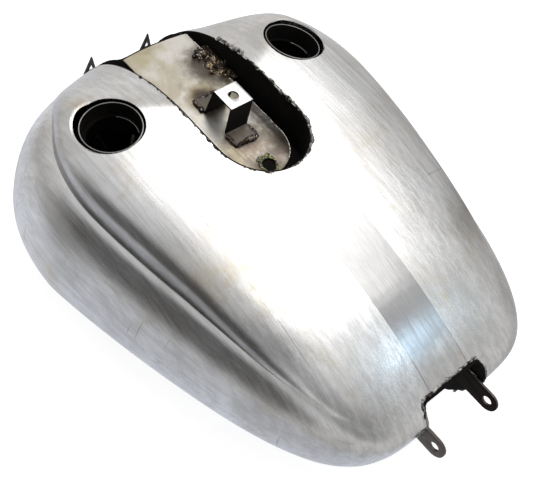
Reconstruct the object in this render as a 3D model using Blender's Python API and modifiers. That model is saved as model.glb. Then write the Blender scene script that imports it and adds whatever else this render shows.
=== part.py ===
"""Twin-filler one-piece motorcycle fuel tank in bare steel, as separate welded pieces.

Every piece is modelled from one datum: the centre of the round end of the dash recess, in the plane
of its edge, +X to the rider's right, +Y to the steering head, +Z up. An empty holds them all and
puts the object's origin under the middle of its box, on the surface that it stands on.
"""

import math

import bmesh
import bpy
import numpy as np
from mathutils import Vector

MM = 0.001

# Outer skin: plan outline and side profile
HALF_WIDTH = 215.5 * MM
WIDEST_Y = 29.0 * MM
FRONT_Y = 214.5 * MM
REAR_Y = -314.0 * MM
FRONT_ROUNDNESS = 2.3
REAR_ROUNDNESS = 5.8
REAR_TAPER = 0.345
TAPER_CURVE = 1.3
BACK_FALL = 0.59
EQUATOR_FRONT_Z = -131.0 * MM
EQUATOR_REAR_Z = -79.0 * MM
BOTTOM_Z = -184.8 * MM
BOTTOM_SCALE = 0.60
BOTTOM_ROUNDNESS = 1.83
TOP_ROUNDNESS = (2.8, 9.0)
SIDE_ROUNDNESS = (2.0, 3.55)
REAR_SQUARING = 1.5

# Crease along each side, where the upper wall meets the lower bulge
CREASE_SCALE = (0.838, 0.883)
CREASE_Z = -40.0 * MM
CREASE_SHOULDER = (4.7, 4.4)
BULGE_ROUNDNESS = 1.15
CREASE_STARTS = (math.radians(25), math.radians(35))
CREASE_ENDS = (math.radians(168), math.radians(45))

# Mesh of the skin
AROUND = 33
FLAT_ROWS = 4
FLAT_SCALE = 0.62
SHOULDER_ROWS = 7
BULGE_ROWS = 4
UNDER_ROWS = 6
FINE_STEPS = 720
MERGE = 0.01 * MM
SHARP_ANGLE = math.radians(35)

# Sheet and gaps; how far cutters run past what they cut
SHEET = 1.5 * MM
GAP = 0.3 * MM
FAR = 0.6
CUT_REACH = 10.0 * MM
BORE_OVERRUN = 5.0 * MM

# Steps of round shapes
SLOT_STEPS = 20
QUARTER_STEPS = 10
CORNER_STEPS = 4
TAB_STEPS = 14
ROUND_SEGMENTS = 32
HOLE_SEGMENTS = 48
SMALL_SEGMENTS = 20
PAN_STEPS = 61

# Dash recess and backbone tunnel
SLOT_HALF = 53.7 * MM
TUNNEL_HALF = 43.5 * MM
TUNNEL_TOP_Z = -31.4 * MM
TUNNEL_BEND_Y = -60.0 * MM
TUNNEL_FALL = 0.112
TUNNEL_CORNER = 8.0 * MM
FLOOR_TOP_Z = -29.5 * MM
FLOOR_HALF = 42.0 * MM
FLOOR_END_Y = 4.0 * MM
WIRE_HOLE_R = 9.0 * MM
WIRE_HOLE_Y = -26.0 * MM
RECESS_DEPTH = 62.0 * MM
WALL_TOP_Z = 2.0 * MM
STRIP_HALF = 27.4 * MM
STRIP_COLUMNS = 5
STRIP_STATIONS = (0.0, -45.0 * MM, -90.0 * MM, -130.0 * MM, -165.0 * MM)

# Dash bracket
BRACKET_Y = 42.0 * MM
BRACKET_SIDE = 28.5 * MM
BRACKET_TOP_Z = 7.7 * MM
BRACKET_SHEET = 2.2 * MM
BRACKET_FOOT = 17.2 * MM
BRACKET_SPLAY = (1.5 * MM, 4.1 * MM)
BRACKET_HOLE_R = 5.5 * MM

# Filler necks
NECK_AT = (120.7 * MM, 78.9 * MM, -3.3 * MM)
NECK_TILT = (math.radians(-4), math.radians(10))
NECK_HOLE_R = 33.4 * MM
NECK_OUTER_R = 31.0 * MM
NECK_INNER_R = 29.0 * MM
NECK_LIP_R = 25.5 * MM
NECK_RIM_Z = -2.0 * MM
NECK_FLANGE_Z = (-11.0 * MM, -12.5 * MM)
NECK_LIP_Z = (-20.5 * MM, -22.0 * MM)
NECK_END_Z = -46.0 * MM

# Rear tabs and front lugs
TAB_X = (38.2 * MM, 41.2 * MM)
TAB_HOLE = (-329.0 * MM, -92.3 * MM)
TAB_HALF = 12.0 * MM
TAB_HOLE_R = 5.2 * MM
TAB_ROOT_Y = -262.0 * MM
LUG_X = 38.5 * MM
LUG_TIP = (216.2 * MM, -75.0 * MM)
LUG_HALF = 8.0 * MM
LUG_RISE = 24.0 * MM
LUG_SHEET = 3.0 * MM
LUG_STEM_Z = -126.0 * MM
LUG_ROOT_Y = 168.0 * MM
LUG_WINDOW_HALF = 4.0 * MM
LUG_WINDOW_FOOT = 3.0 * MM
LUG_WINDOW_TIP = 11.0 * MM

# Fuel fittings and baffles
BUNG_AT = (-88.0 * MM, -95.0 * MM)
BUNG_R = (8.5 * MM, 15.0 * MM)
BUNG_HEIGHT = 14.0 * MM
NIPPLE_AT = (95.0 * MM, -162.0 * MM)
NIPPLE_R = (3.2 * MM, 5.0 * MM)
NIPPLE_REACH = (24.0 * MM, 56.0 * MM)
NIPPLE_HOLE_X = (30.0 * MM, 55.0 * MM)
VENT_AT = (-62.0 * MM, 104.0 * MM)
VENT_R = (2.2 * MM, 3.2 * MM)
VENT_TOP_Z = -18.0 * MM
BAFFLE_Y = -70.0 * MM
BAFFLE_INSET = 4.0 * MM
BAFFLE_TOP_Z = -12.0 * MM
BAFFLE_FOOT = 6.0 * MM
BAFFLE_HOLES = ((95.0 * MM, -60.0 * MM), (95.0 * MM, -125.0 * MM), (140.0 * MM, -95.0 * MM))
BAFFLE_HOLE_R = 16.0 * MM

# Datum's place in the object's frame
DATUM = (0.0, 62.4 * MM, -BOTTOM_Z)

BARE_STEEL = (0.62, 0.61, 0.60)
DARK_STEEL = (0.16, 0.15, 0.14)
WELDED_STEEL = (0.42, 0.38, 0.32)


def clear_scene():
    for thing in list(bpy.data.objects):
        bpy.data.objects.remove(thing, do_unlink=True)


def collection(name):
    made = bpy.data.collections.new(name)
    bpy.context.scene.collection.children.link(made)
    return made


def steel(name, colour, roughness):
    made = bpy.data.materials.new(name)
    made.use_nodes = True
    shader = made.node_tree.nodes["Principled BSDF"]
    shader.inputs["Base Color"].default_value = (*colour, 1.0)
    shader.inputs["Roughness"].default_value = roughness
    shader.inputs["Metallic"].default_value = 1.0
    return made


def smoothstep(value):
    value = np.clip(value, 0.0, 1.0)
    return value * value * (3.0 - 2.0 * value)


def outline(around):
    """Plan outline from the front middle to the rear middle, at equal steps along it."""
    angle = np.linspace(0.0, math.pi, FINE_STEPS)
    side, ahead = np.sin(angle), np.cos(angle)
    reach = np.where(ahead >= 0, FRONT_Y - WIDEST_Y, WIDEST_Y - REAR_Y)
    power = np.where(ahead >= 0, FRONT_ROUNDNESS, REAR_ROUNDNESS)
    radius = ((side / HALF_WIDTH) ** power + (np.abs(ahead) / reach) ** power) ** (-1.0 / power)
    y = radius * ahead
    back = np.clip(-y / reach, 0.0, 1.0)
    x = radius * side * (1.0 - REAR_TAPER * back**TAPER_CURVE)
    run = np.concatenate([[0.0], np.cumsum(np.hypot(np.diff(x), np.diff(y)))])
    at = np.linspace(0.0, run[-1], around)
    return [np.interp(at, run, row) for row in (angle, x, y, back)]


def spine(y):
    """Height of the ridge along the middle: level at the dash, falling away behind it."""
    return -BACK_FALL * np.minimum(y, 0.0) ** 2


def shoulder_turn(row, rows, power):
    """Angle on a superellipse's quarter: even steps out over its flat top, then even turns down its side."""
    flat = np.arccos((FLAT_SCALE * min(row / FLAT_ROWS, 1.0)) ** (power / 2.0))
    return flat * (1.0 - max(row - FLAT_ROWS, 0) / rows)


def skin_points(inset=0.0):
    """Rows of points of the right half, from the ridge over the shoulder, crease and bulge to the bottom."""
    angle, x_out, y_out, back = outline(AROUND)
    shrink = 1.0 - inset / HALF_WIDTH
    crease = smoothstep((angle - CREASE_STARTS[0]) / CREASE_STARTS[1])
    crease = crease * smoothstep((CREASE_ENDS[0] - angle) / CREASE_ENDS[1])
    squaring = np.clip(-np.cos(angle), 0.0, 1.0) ** REAR_SQUARING
    top_power = TOP_ROUNDNESS[0] + (TOP_ROUNDNESS[1] - TOP_ROUNDNESS[0]) * squaring
    side_power = SIDE_ROUNDNESS[0] + (SIDE_ROUNDNESS[1] - SIDE_ROUNDNESS[0]) * squaring
    equator = EQUATOR_FRONT_Z + (EQUATOR_REAR_Z - EQUATOR_FRONT_Z) * back
    crease_at = CREASE_SCALE[0] + (CREASE_SCALE[1] - CREASE_SCALE[0]) * back

    def placed(scale, foot, rise, summit=None):
        y = WIDEST_Y + y_out * scale
        z = foot + ((spine(y) if summit is None else summit) - foot) * rise
        return np.stack([x_out * scale, y, z], axis=-1)

    rows = []
    for row in range(FLAT_ROWS + SHOULDER_ROWS + BULGE_ROWS + 1):
        turn = shoulder_turn(row, SHOULDER_ROWS + BULGE_ROWS, top_power)
        scale = np.cos(turn) ** (2.0 / top_power)
        plain = placed(scale, equator, np.sin(turn) ** (2.0 / side_power))
        if row <= FLAT_ROWS + SHOULDER_ROWS:
            turn = shoulder_turn(row, SHOULDER_ROWS, CREASE_SHOULDER[0])
            scale = crease_at * np.cos(turn) ** (2.0 / CREASE_SHOULDER[0])
            creased = placed(scale, CREASE_Z, np.sin(turn) ** (2.0 / CREASE_SHOULDER[1]))
        else:
            turn = 0.5 * math.pi * (1.0 - (row - FLAT_ROWS - SHOULDER_ROWS) / BULGE_ROWS)
            scale = crease_at + (1.0 - crease_at) * math.cos(turn) ** BULGE_ROUNDNESS
            creased = placed(scale, equator, math.sin(turn), CREASE_Z)
        rows.append(plain + (creased - plain) * crease[:, None])
    for row in range(1, UNDER_ROWS + 1):
        turn = 0.5 * math.pi * row / UNDER_ROWS
        scale = BOTTOM_SCALE + (1.0 - BOTTOM_SCALE) * math.cos(turn) ** (2.0 / BOTTOM_ROUNDNESS)
        rows.append(placed(scale, equator, math.sin(turn), BOTTOM_Z))
    points = np.array(rows)
    middle = np.array([0.0, WIDEST_Y, 0.5 * BOTTOM_Z])
    return middle + (points - middle) * shrink


class Tank:
    """The pieces' and cutters' collections, and the empty that carries them."""

    def __init__(self):
        clear_scene()
        self.parts = collection("fuel_tank")
        self.cutters = collection("cutters")
        self.bare = steel("bare_steel", BARE_STEEL, 0.32)
        self.dark = steel("dark_steel", DARK_STEEL, 0.5)
        self.welded = steel("heat_tinted_steel", WELDED_STEEL, 0.45)
        self.datum = bpy.data.objects.new("tank_datum", None)
        self.datum.location = DATUM
        self.parts.objects.link(self.datum)

    def add(self, name, mesh, material):
        thing = bpy.data.objects.new(name, mesh)
        thing.data.materials.append(material)
        thing.parent = self.datum
        self.parts.objects.link(thing)
        return thing

    def cutter(self, name, mesh):
        thing = bpy.data.objects.new(name, mesh)
        thing.parent = self.datum
        thing.hide_render = True
        thing.display_type = "WIRE"
        self.cutters.objects.link(thing)
        return thing


def mesh_from(name, build):
    shape = bmesh.new()
    build(shape)
    bmesh.ops.recalc_face_normals(shape, faces=shape.faces)
    made = bpy.data.meshes.new(name)
    shape.to_mesh(made)
    shape.free()
    made.shade_smooth()
    made.set_sharp_from_angle(angle=SHARP_ANGLE)
    return made


def grid_faces(shape, points):
    """Quads through rows of points; rows that meet in a point make triangles once doubles are merged."""
    verts = [[shape.verts.new(p) for p in row] for row in points]
    for above, below in zip(verts, verts[1:]):
        for i in range(len(above) - 1):
            shape.faces.new((above[i], above[i + 1], below[i + 1], below[i]))
    bmesh.ops.remove_doubles(shape, verts=shape.verts, dist=MERGE)


def envelope_mesh(name, inset=0.0):
    """The whole skin as one closed solid, to trim what has to end flush with it or inside it."""
    right = skin_points(inset=inset)
    left = right * np.array([-1.0, 1.0, 1.0])
    ring = np.concatenate([right, left[:, ::-1][:, 1:]], axis=1)

    def build(shape):
        grid_faces(shape, ring)
        bmesh.ops.holes_fill(shape, edges=[e for e in shape.edges if e.is_boundary])

    return mesh_from(name, build)


def box_mesh(name, low, high):
    def build(shape):
        middle = [(a + b) / 2 for a, b in zip(low, high)]
        size = [b - a for a, b in zip(low, high)]
        made = bmesh.ops.create_cube(shape, size=1.0)["verts"]
        bmesh.ops.scale(shape, vec=size, verts=made)
        bmesh.ops.translate(shape, vec=middle, verts=made)

    return mesh_from(name, build)


def rod_mesh(name, radius, start, end, segments=ROUND_SEGMENTS):
    start, end = Vector(start), Vector(end)

    def build(shape):
        along = end - start
        ends = {"cap_ends": True, "radius1": radius, "radius2": radius}
        made = bmesh.ops.create_cone(shape, segments=segments, depth=along.length, **ends)["verts"]
        bmesh.ops.rotate(shape, matrix=along.to_track_quat("Z", "Y").to_matrix(), verts=made)
        bmesh.ops.translate(shape, vec=(start + end) / 2, verts=made)

    return mesh_from(name, build)


def prism_mesh(name, points, axis, low, high):
    """A flat outline, given as pairs, pulled straight along one axis."""

    def build(shape):
        verts = []
        for a, b in points:
            place = [a, b]
            place.insert(axis, low)
            verts.append(shape.verts.new(place))
        face = shape.faces.new(verts)
        pulled = bmesh.ops.extrude_face_region(shape, geom=[face])["geom"]
        shift = [0.0, 0.0, 0.0]
        shift[axis] = high - low
        moved = [item for item in pulled if isinstance(item, bmesh.types.BMVert)]
        bmesh.ops.translate(shape, vec=shift, verts=moved)

    return mesh_from(name, build)


def boolean(thing, cutter, operation="DIFFERENCE"):
    modifier = thing.modifiers.new(f"{operation.lower()}_{cutter.name}", "BOOLEAN")
    modifier.operation = operation
    modifier.solver = "EXACT"
    modifier.object = cutter
    return thing


def solidify(thing, thickness, offset):
    modifier = thing.modifiers.new("sheet", "SOLIDIFY")
    modifier.thickness = thickness
    modifier.offset = offset
    return thing


def arc(centre, radius, start, end, steps):
    """Points on a circle, as pairs, from one angle to another in degrees."""
    angles = [math.radians(start + (end - start) * i / steps) for i in range(steps + 1)]
    return [(centre[0] + radius * math.cos(a), centre[1] + radius * math.sin(a)) for a in angles]


def slot_outline(half, front_y, end_y=0.0):
    """The recess in plan: straight sides that run out over the front, and a round rear end."""
    return [(half, front_y), *arc((0.0, end_y), half, 0.0, -180.0, SLOT_STEPS), (-half, front_y)]


def tunnel_section(half, corner):
    """An arch with rounded upper corners, as x and the height above its top."""
    bend = arc((0.0, 0.0), corner, 0.0, 90.0, CORNER_STEPS)
    right = [(half - corner + x, z - corner) for x, z in bend]
    left = [(-x, z) for x, z in reversed(right)]
    return [(half, -FAR), *right, *left, (-half, -FAR)]


def tunnel_top(y):
    return TUNNEL_TOP_Z + TUNNEL_FALL * min(y - TUNNEL_BEND_Y, 0.0)


def tunnel_points(half, corner, drop=0.0):
    section = tunnel_section(half, corner)
    stations = (-FAR, TUNNEL_BEND_Y, FAR)
    return [[(x, y, tunnel_top(y) + z - drop) for x, z in section] for y in stations]


def tunnel_cutter_mesh():
    """The space that the tunnel takes, closed all round, a gap larger than the tunnel itself."""
    rows = tunnel_points(TUNNEL_HALF + GAP, TUNNEL_CORNER + GAP, -GAP)

    def build(shape):
        grid_faces(shape, rows)
        bmesh.ops.holes_fill(shape, edges=[e for e in shape.edges if e.is_boundary])

    return mesh_from("tunnel_space", build)


def neck_frame():
    """The right filler's centre and its outward axis."""
    tilt, lean = NECK_TILT
    axis = Vector((math.sin(lean), -math.sin(tilt), 1.0)).normalized()
    return Vector(NECK_AT), axis


def mirrored(vector, sign):
    return Vector((vector.x * sign, vector.y, vector.z))


def make_shells(tank, spaces):
    points = skin_points()
    for side, sign in (("left", -1.0), ("right", 1.0)):
        half = points * np.array([sign, 1.0, 1.0])
        mesh = mesh_from(f"{side}_shell", lambda shape, rows=half: grid_faces(shape, rows))
        shell = tank.add(f"{side}_shell", mesh, tank.bare)
        point_outwards(shell)
        solidify(shell, SHEET, -1.0)
        for name in ("strip_space", "slot_space", "tunnel_space", f"{side}_filler_hole"):
            boolean(shell, spaces[name])


def point_outwards(shell):
    """Turns an open sheet over if its highest face looks down, so that its thickness goes inwards."""
    top = max(shell.data.polygons, key=lambda face: face.center.z)
    if top.normal.z < 0:
        shell.data.flip_normals()


def make_strip(tank, spaces):
    """The strip along the ridge behind the recess, following the skin's rear edge at its end."""
    across = np.linspace(-STRIP_HALF, STRIP_HALF, STRIP_COLUMNS)
    ridge = [p[1:] for p in skin_points()[:, -1] if p[1] > REAR_Y and p[2] > EQUATOR_REAR_Z]
    line = [(y, spine(y)) for y in STRIP_STATIONS]
    line += [p for p in ridge if p[0] < STRIP_STATIONS[-1]]
    points = [[(x, y, z) for x in across] for y, z in line]
    mesh = mesh_from("centre_strip", lambda shape: grid_faces(shape, points))
    strip = tank.add("centre_strip", mesh, tank.bare)
    point_outwards(strip)
    solidify(strip, SHEET, -1.0)
    boolean(strip, spaces["slot_space"])
    boolean(strip, spaces["tunnel_space"])


def make_tunnel(tank, spaces):
    """The backbone tunnel, which ends flush with the skin at both ends and at the bottom."""
    rows = tunnel_points(TUNNEL_HALF, TUNNEL_CORNER)
    mesh = mesh_from("tunnel", lambda shape: grid_faces(shape, rows))
    tunnel = tank.add("tunnel", mesh, tank.bare)
    point_outwards(tunnel)
    solidify(tunnel, SHEET, -1.0)
    boolean(tunnel, spaces["skin_solid"], "INTERSECT")
    for side in ("left", "right"):
        boolean(tunnel, spaces[f"{side}_nipple_hole"])


def make_recess(tank, spaces):
    """The dash recess: its floor, its wall, and the gutters that join the wall to the tunnel."""
    plan = slot_outline(FLOOR_HALF, FAR, FLOOR_END_Y)
    mesh = prism_mesh("dash_floor", plan, 2, FLOOR_TOP_Z - SHEET, FLOOR_TOP_Z)
    floor = tank.add("dash_floor", mesh, tank.welded)
    boolean(floor, spaces["skin_solid"], "INTERSECT")
    boolean(floor, spaces["wire_hole"])

    half = SLOT_HALF - GAP
    path = slot_outline(half, FAR)
    rows = [[(x, y, z) for x, y in path] for z in (WALL_TOP_Z, -RECESS_DEPTH)]
    mesh = mesh_from("dash_wall", lambda shape: grid_faces(shape, rows))
    wall = tank.add("dash_wall", mesh, tank.dark)
    solidify(wall, SHEET, recess_side(wall))
    boolean(wall, spaces["skin_solid"], "INTERSECT")
    boolean(wall, spaces["tunnel_space"])

    inner = half - SHEET - GAP
    for side, sign in (("left", -1.0), ("right", 1.0)):
        bend = arc((0.0, 0.0), inner, 0.0, -90.0, QUARTER_STEPS)
        plan = [(sign * inner, FAR), *[(sign * x, y) for x, y in bend], (0.0, FAR)]
        name = f"{side}_recess_gutter"
        mesh = prism_mesh(name, plan, 2, -RECESS_DEPTH, SHEET - RECESS_DEPTH)
        gutter = tank.add(name, mesh, tank.dark)
        boolean(gutter, spaces["tunnel_space"])
        boolean(gutter, spaces["skin_solid"], "INTERSECT")


def recess_side(wall):
    """Solidify's offset that puts the thickness on the recess's inner side."""
    face = max(wall.data.polygons, key=lambda f: f.center.x)
    return -1.0 if face.normal.x > 0 else 1.0


def make_bracket(tank, spaces):
    """The hat-shaped dash bracket on the recess's floor."""
    rear, front = BRACKET_Y - BRACKET_SIDE / 2, BRACKET_Y + BRACKET_SIDE / 2
    foot_z = FLOOR_TOP_Z + GAP + BRACKET_SHEET
    path = [
        (rear - BRACKET_SPLAY[0] - BRACKET_FOOT, foot_z),
        (rear - BRACKET_SPLAY[0], foot_z),
        (rear, BRACKET_TOP_Z),
        (front, BRACKET_TOP_Z),
        (front + BRACKET_SPLAY[1], foot_z),
        (front + BRACKET_SPLAY[1] + BRACKET_FOOT, foot_z),
    ]
    rows = [[(x, y, z) for x in (-BRACKET_SIDE / 2, BRACKET_SIDE / 2)] for y, z in path]
    mesh = mesh_from("dash_bracket", lambda shape: grid_faces(shape, rows))
    bracket = tank.add("dash_bracket", mesh, tank.bare)
    point_outwards(bracket)
    solidify(bracket, BRACKET_SHEET, -1.0).modifiers["sheet"].use_even_offset = True
    boolean(bracket, spaces["bracket_hole"])


def make_necks(tank):
    """Turned filler necks: a rim under the skin, a flange that closes the hole, and a seat lip inside."""
    flange = NECK_HOLE_R - GAP
    profile = [
        (NECK_INNER_R, NECK_RIM_Z),
        (NECK_OUTER_R, NECK_RIM_Z),
        (NECK_OUTER_R, NECK_FLANGE_Z[0]),
        (flange, NECK_FLANGE_Z[0]),
        (flange, NECK_FLANGE_Z[1]),
        (NECK_OUTER_R, NECK_FLANGE_Z[1]),
        (NECK_OUTER_R, NECK_END_Z),
        (NECK_INNER_R, NECK_END_Z),
        (NECK_INNER_R, NECK_LIP_Z[1]),
        (NECK_LIP_R, NECK_LIP_Z[1]),
        (NECK_LIP_R, NECK_LIP_Z[0]),
        (NECK_INNER_R, NECK_LIP_Z[0]),
    ]
    centre, axis = neck_frame()
    for side, sign in (("left", -1.0), ("right", 1.0)):
        mesh = bpy.data.meshes.new(f"{side}_filler_neck")
        edges = [(i, (i + 1) % len(profile)) for i in range(len(profile))]
        mesh.from_pydata([(r, 0.0, z) for r, z in profile], edges, [])
        neck = tank.add(f"{side}_filler_neck", mesh, tank.bare)
        neck.location = mirrored(centre, sign)
        neck.rotation_euler = mirrored(axis, sign).to_track_quat("Z", "Y").to_euler()
        turned(neck, ROUND_SEGMENTS)


def turned(thing, steps):
    screw = thing.modifiers.new("turned", "SCREW")
    screw.steps = steps
    screw.render_steps = steps
    screw.use_merge_vertices = True
    screw.merge_threshold = MERGE
    screw.use_smooth_shade = True


def make_tabs(tank, spaces):
    """Rear tabs: flat plates with a rounded end and a bolt hole, on the tunnel's inner sides."""
    y, z = TAB_HOLE
    end = arc((y, z), TAB_HALF, -90.0, -270.0, TAB_STEPS)
    shape = [(TAB_ROOT_Y, z + TAB_HALF), (TAB_ROOT_Y, z - TAB_HALF), *end]
    for side, sign in (("left", -1.0), ("right", 1.0)):
        low, high = sorted((sign * TAB_X[0], sign * TAB_X[1]))
        name = f"rear_{side}_tab"
        tab = tank.add(name, prism_mesh(name, shape, 0, low, high), tank.dark)
        boolean(tab, spaces["tab_hole"])


def make_lugs(tank, spaces):
    """Front lugs: a pointed ear with a three-cornered window, on a flange along the tunnel's wall."""
    y, z = LUG_TIP
    shoulder = z - LUG_RISE
    for side, sign in (("left", -1.0), ("right", 1.0)):
        x = sign * LUG_X
        left, right = x - LUG_HALF, x + LUG_HALF
        ear = [(left, LUG_STEM_Z), (right, LUG_STEM_Z), (right, shoulder), (x, z), (left, shoulder)]
        name = f"front_{side}_lug"
        lug = tank.add(name, prism_mesh(name, ear, 1, y - LUG_SHEET, y), tank.dark)
        wall = TUNNEL_HALF - SHEET - GAP
        low_x, high_x = sorted((sign * wall, sign * (wall - LUG_SHEET)))
        low, high = (low_x, LUG_ROOT_Y, LUG_STEM_Z), (high_x, y - LUG_SHEET / 2, shoulder)
        flange = tank.cutter(f"{side}_lug_flange", box_mesh(f"{side}_lug_flange", low, high))
        boolean(lug, flange, "UNION")
        boolean(lug, spaces[f"{side}_lug_window"])


def make_pans(tank, spaces):
    """Flat bottom pans between the tunnel's walls and the skin's lower edge."""
    _, x, y, _ = outline(PAN_STEPS)
    scale = BOTTOM_SCALE - 2.0 * GAP / HALF_WIDTH
    inner = TUNNEL_HALF + GAP
    ring = [(a * scale, WIDEST_Y + b * scale) for a, b in zip(x, y) if a * scale > inner + MM]
    shape = [(inner, ring[0][1]), *ring, (inner, ring[-1][1])]
    for side, sign in (("left", -1.0), ("right", 1.0)):
        points = [(sign * a, b) for a, b in shape]
        name = f"{side}_bottom_pan"
        mesh = prism_mesh(name, points, 2, BOTTOM_Z, BOTTOM_Z + SHEET)
        pan = tank.add(name, mesh, tank.bare)
        if side == "left":
            boolean(pan, spaces["bung_hole"])
            boolean(pan, spaces["vent_hole"])


def tube(tank, name, radii, start, end):
    """A plain tube: an outer rod with its bore cut out."""
    start, end = Vector(start), Vector(end)
    past = (end - start).normalized() * BORE_OVERRUN
    made = tank.add(name, rod_mesh(name, radii[1], start, end, SMALL_SEGMENTS), tank.bare)
    bore = f"{name}_bore"
    mesh = rod_mesh(bore, radii[0], start - past, end + past, SMALL_SEGMENTS)
    return boolean(made, tank.cutter(bore, mesh))


def make_fittings(tank):
    """The fuel outlet, the vent tube and the two crossover nipples."""
    x, y = BUNG_AT
    tube(tank, "petcock_bung", BUNG_R, (x, y, BOTTOM_Z), (x, y, BOTTOM_Z + BUNG_HEIGHT))
    x, y = VENT_AT
    tube(tank, "vent_tube", VENT_R, (x, y, BOTTOM_Z), (x, y, VENT_TOP_Z))
    y, z = NIPPLE_AT
    for side, sign in (("left", -1.0), ("right", 1.0)):
        start, end = [(sign * reach, y, z) for reach in NIPPLE_REACH]
        tube(tank, f"{side}_crossover_nipple", NIPPLE_R, start, end)


def make_baffles(tank, spaces):
    """Slosh baffles across each half, clear of the skin, with three round holes."""
    for side, sign in (("left", -1.0), ("right", 1.0)):
        inner = sign * (TUNNEL_HALF + BAFFLE_INSET)
        low_x, high_x = sorted((inner, sign * FAR))
        low = (low_x, BAFFLE_Y, BOTTOM_Z + BAFFLE_FOOT)
        high = (high_x, BAFFLE_Y + SHEET, BAFFLE_TOP_Z)
        name = f"{side}_baffle"
        baffle = tank.add(name, box_mesh(name, low, high), tank.bare)
        boolean(baffle, spaces["inner_solid"], "INTERSECT")
        for x, z in BAFFLE_HOLES:
            start, end = (sign * x, BAFFLE_Y - MM, z), (sign * x, BAFFLE_Y + SHEET + MM, z)
            hole = rod_mesh(f"{name}_hole", BAFFLE_HOLE_R, start, end)
            boolean(baffle, tank.cutter(f"{name}_hole", hole))


def lug_window(sign):
    """The three-cornered window in a lug's ear."""
    x, z = sign * LUG_X, LUG_TIP[1]
    foot = z - LUG_RISE + LUG_WINDOW_FOOT
    return [(x - LUG_WINDOW_HALF, foot), (x + LUG_WINDOW_HALF, foot), (x, z - LUG_WINDOW_TIP)]


def make_spaces(tank):
    """Every cutter that more than one piece uses, or that a piece takes from the datum."""
    spaces = {}

    def keep(name, mesh):
        spaces[name] = tank.cutter(name, mesh)

    def keep_prism(name, points, axis, low, high):
        keep(name, prism_mesh(name, points, axis, low, high))

    def keep_rod(name, radius, start, end, segments=ROUND_SEGMENTS):
        keep(name, rod_mesh(name, radius, start, end, segments))

    keep("skin_solid", envelope_mesh("skin_solid"))
    keep("inner_solid", envelope_mesh("inner_solid", BAFFLE_INSET))
    keep("tunnel_space", tunnel_cutter_mesh())
    keep_prism("slot_space", slot_outline(SLOT_HALF, FAR), 2, -RECESS_DEPTH - MM, FAR)
    strip = STRIP_HALF + GAP
    keep("strip_space", box_mesh("strip_space", (-strip, -FAR, -FAR / 2), (strip, 0.0, FAR)))
    centre, axis = neck_frame()
    for side, sign in (("left", -1.0), ("right", 1.0)):
        middle, along = mirrored(centre, sign), mirrored(axis, sign) * 2.0 * CUT_REACH
        name = f"{side}_filler_hole"
        keep_rod(name, NECK_HOLE_R, middle - along, middle + along, HOLE_SEGMENTS)
        y, z = NIPPLE_AT
        start, end = [(sign * x, y, z) for x in NIPPLE_HOLE_X]
        keep_rod(f"{side}_nipple_hole", NIPPLE_R[1] + GAP, start, end, SMALL_SEGMENTS)
        window = lug_window(sign)
        keep_prism(f"{side}_lug_window", window, 1, LUG_TIP[0] - CUT_REACH, LUG_TIP[0] + CUT_REACH)
    keep_rod("wire_hole", WIRE_HOLE_R, (0, WIRE_HOLE_Y, -FLOOR_HALF), (0, WIRE_HOLE_Y, 0.0))
    keep_rod("bracket_hole", BRACKET_HOLE_R, (0, BRACKET_Y, 0.0), (0, BRACKET_Y, 2.0 * CUT_REACH))
    y, z = TAB_HOLE
    keep_rod("tab_hole", TAB_HOLE_R, (-TUNNEL_HALF, y, z), (TUNNEL_HALF, y, z))
    for name, (x, y), radius in (("bung", BUNG_AT, BUNG_R[1]), ("vent", VENT_AT, VENT_R[1])):
        start, end = (x, y, BOTTOM_Z - CUT_REACH), (x, y, BOTTOM_Z + CUT_REACH)
        keep_rod(f"{name}_hole", radius + GAP, start, end, SMALL_SEGMENTS)
    return spaces


def main():
    tank = Tank()
    spaces = make_spaces(tank)
    make_shells(tank, spaces)
    make_strip(tank, spaces)
    make_tunnel(tank, spaces)
    make_recess(tank, spaces)
    make_bracket(tank, spaces)
    make_necks(tank)
    make_tabs(tank, spaces)
    make_lugs(tank, spaces)
    make_pans(tank, spaces)
    make_fittings(tank)
    make_baffles(tank, spaces)


main()
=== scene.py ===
"""Looks of a twin-filler motorcycle fuel tank in bare ground steel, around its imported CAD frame.

Laid out as an add-on: one operator makes each piece or group of like pieces, and one makes the stage.
All sizes are in metres, in the CAD's frame: +X to the rider's right, +Y to the steering head, +Z up.
"""

import math

import bmesh
import bpy
import mathutils
import numpy as np
from bpy.props import FloatProperty, FloatVectorProperty, PointerProperty
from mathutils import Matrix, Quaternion, Vector


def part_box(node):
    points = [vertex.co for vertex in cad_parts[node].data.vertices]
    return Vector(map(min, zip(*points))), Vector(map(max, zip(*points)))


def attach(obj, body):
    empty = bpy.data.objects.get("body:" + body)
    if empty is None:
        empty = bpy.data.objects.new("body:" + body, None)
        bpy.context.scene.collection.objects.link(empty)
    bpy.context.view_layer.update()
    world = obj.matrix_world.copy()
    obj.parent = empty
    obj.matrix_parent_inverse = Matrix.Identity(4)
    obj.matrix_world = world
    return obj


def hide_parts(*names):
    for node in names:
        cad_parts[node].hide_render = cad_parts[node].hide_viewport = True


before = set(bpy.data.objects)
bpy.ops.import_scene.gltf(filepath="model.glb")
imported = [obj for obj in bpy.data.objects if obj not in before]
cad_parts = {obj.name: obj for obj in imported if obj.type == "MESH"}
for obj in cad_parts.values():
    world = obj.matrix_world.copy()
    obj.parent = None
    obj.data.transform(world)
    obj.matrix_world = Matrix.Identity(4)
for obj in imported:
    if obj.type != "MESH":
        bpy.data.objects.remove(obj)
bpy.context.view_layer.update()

bl_info = {
    "name": "Bare Steel Fuel Tank",
    "version": (1, 0, 0),
    "blender": (4, 5, 0),
    "location": "View3D > Sidebar > Fuel Tank",
    "description": "Makes the fine surfaces, welds and finishes of a bare steel fuel tank",
    "category": "Object",
}

MM = 0.001
BODY = "root"
SIDES = ((-1.0, "left"), (1.0, "right"))

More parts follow.
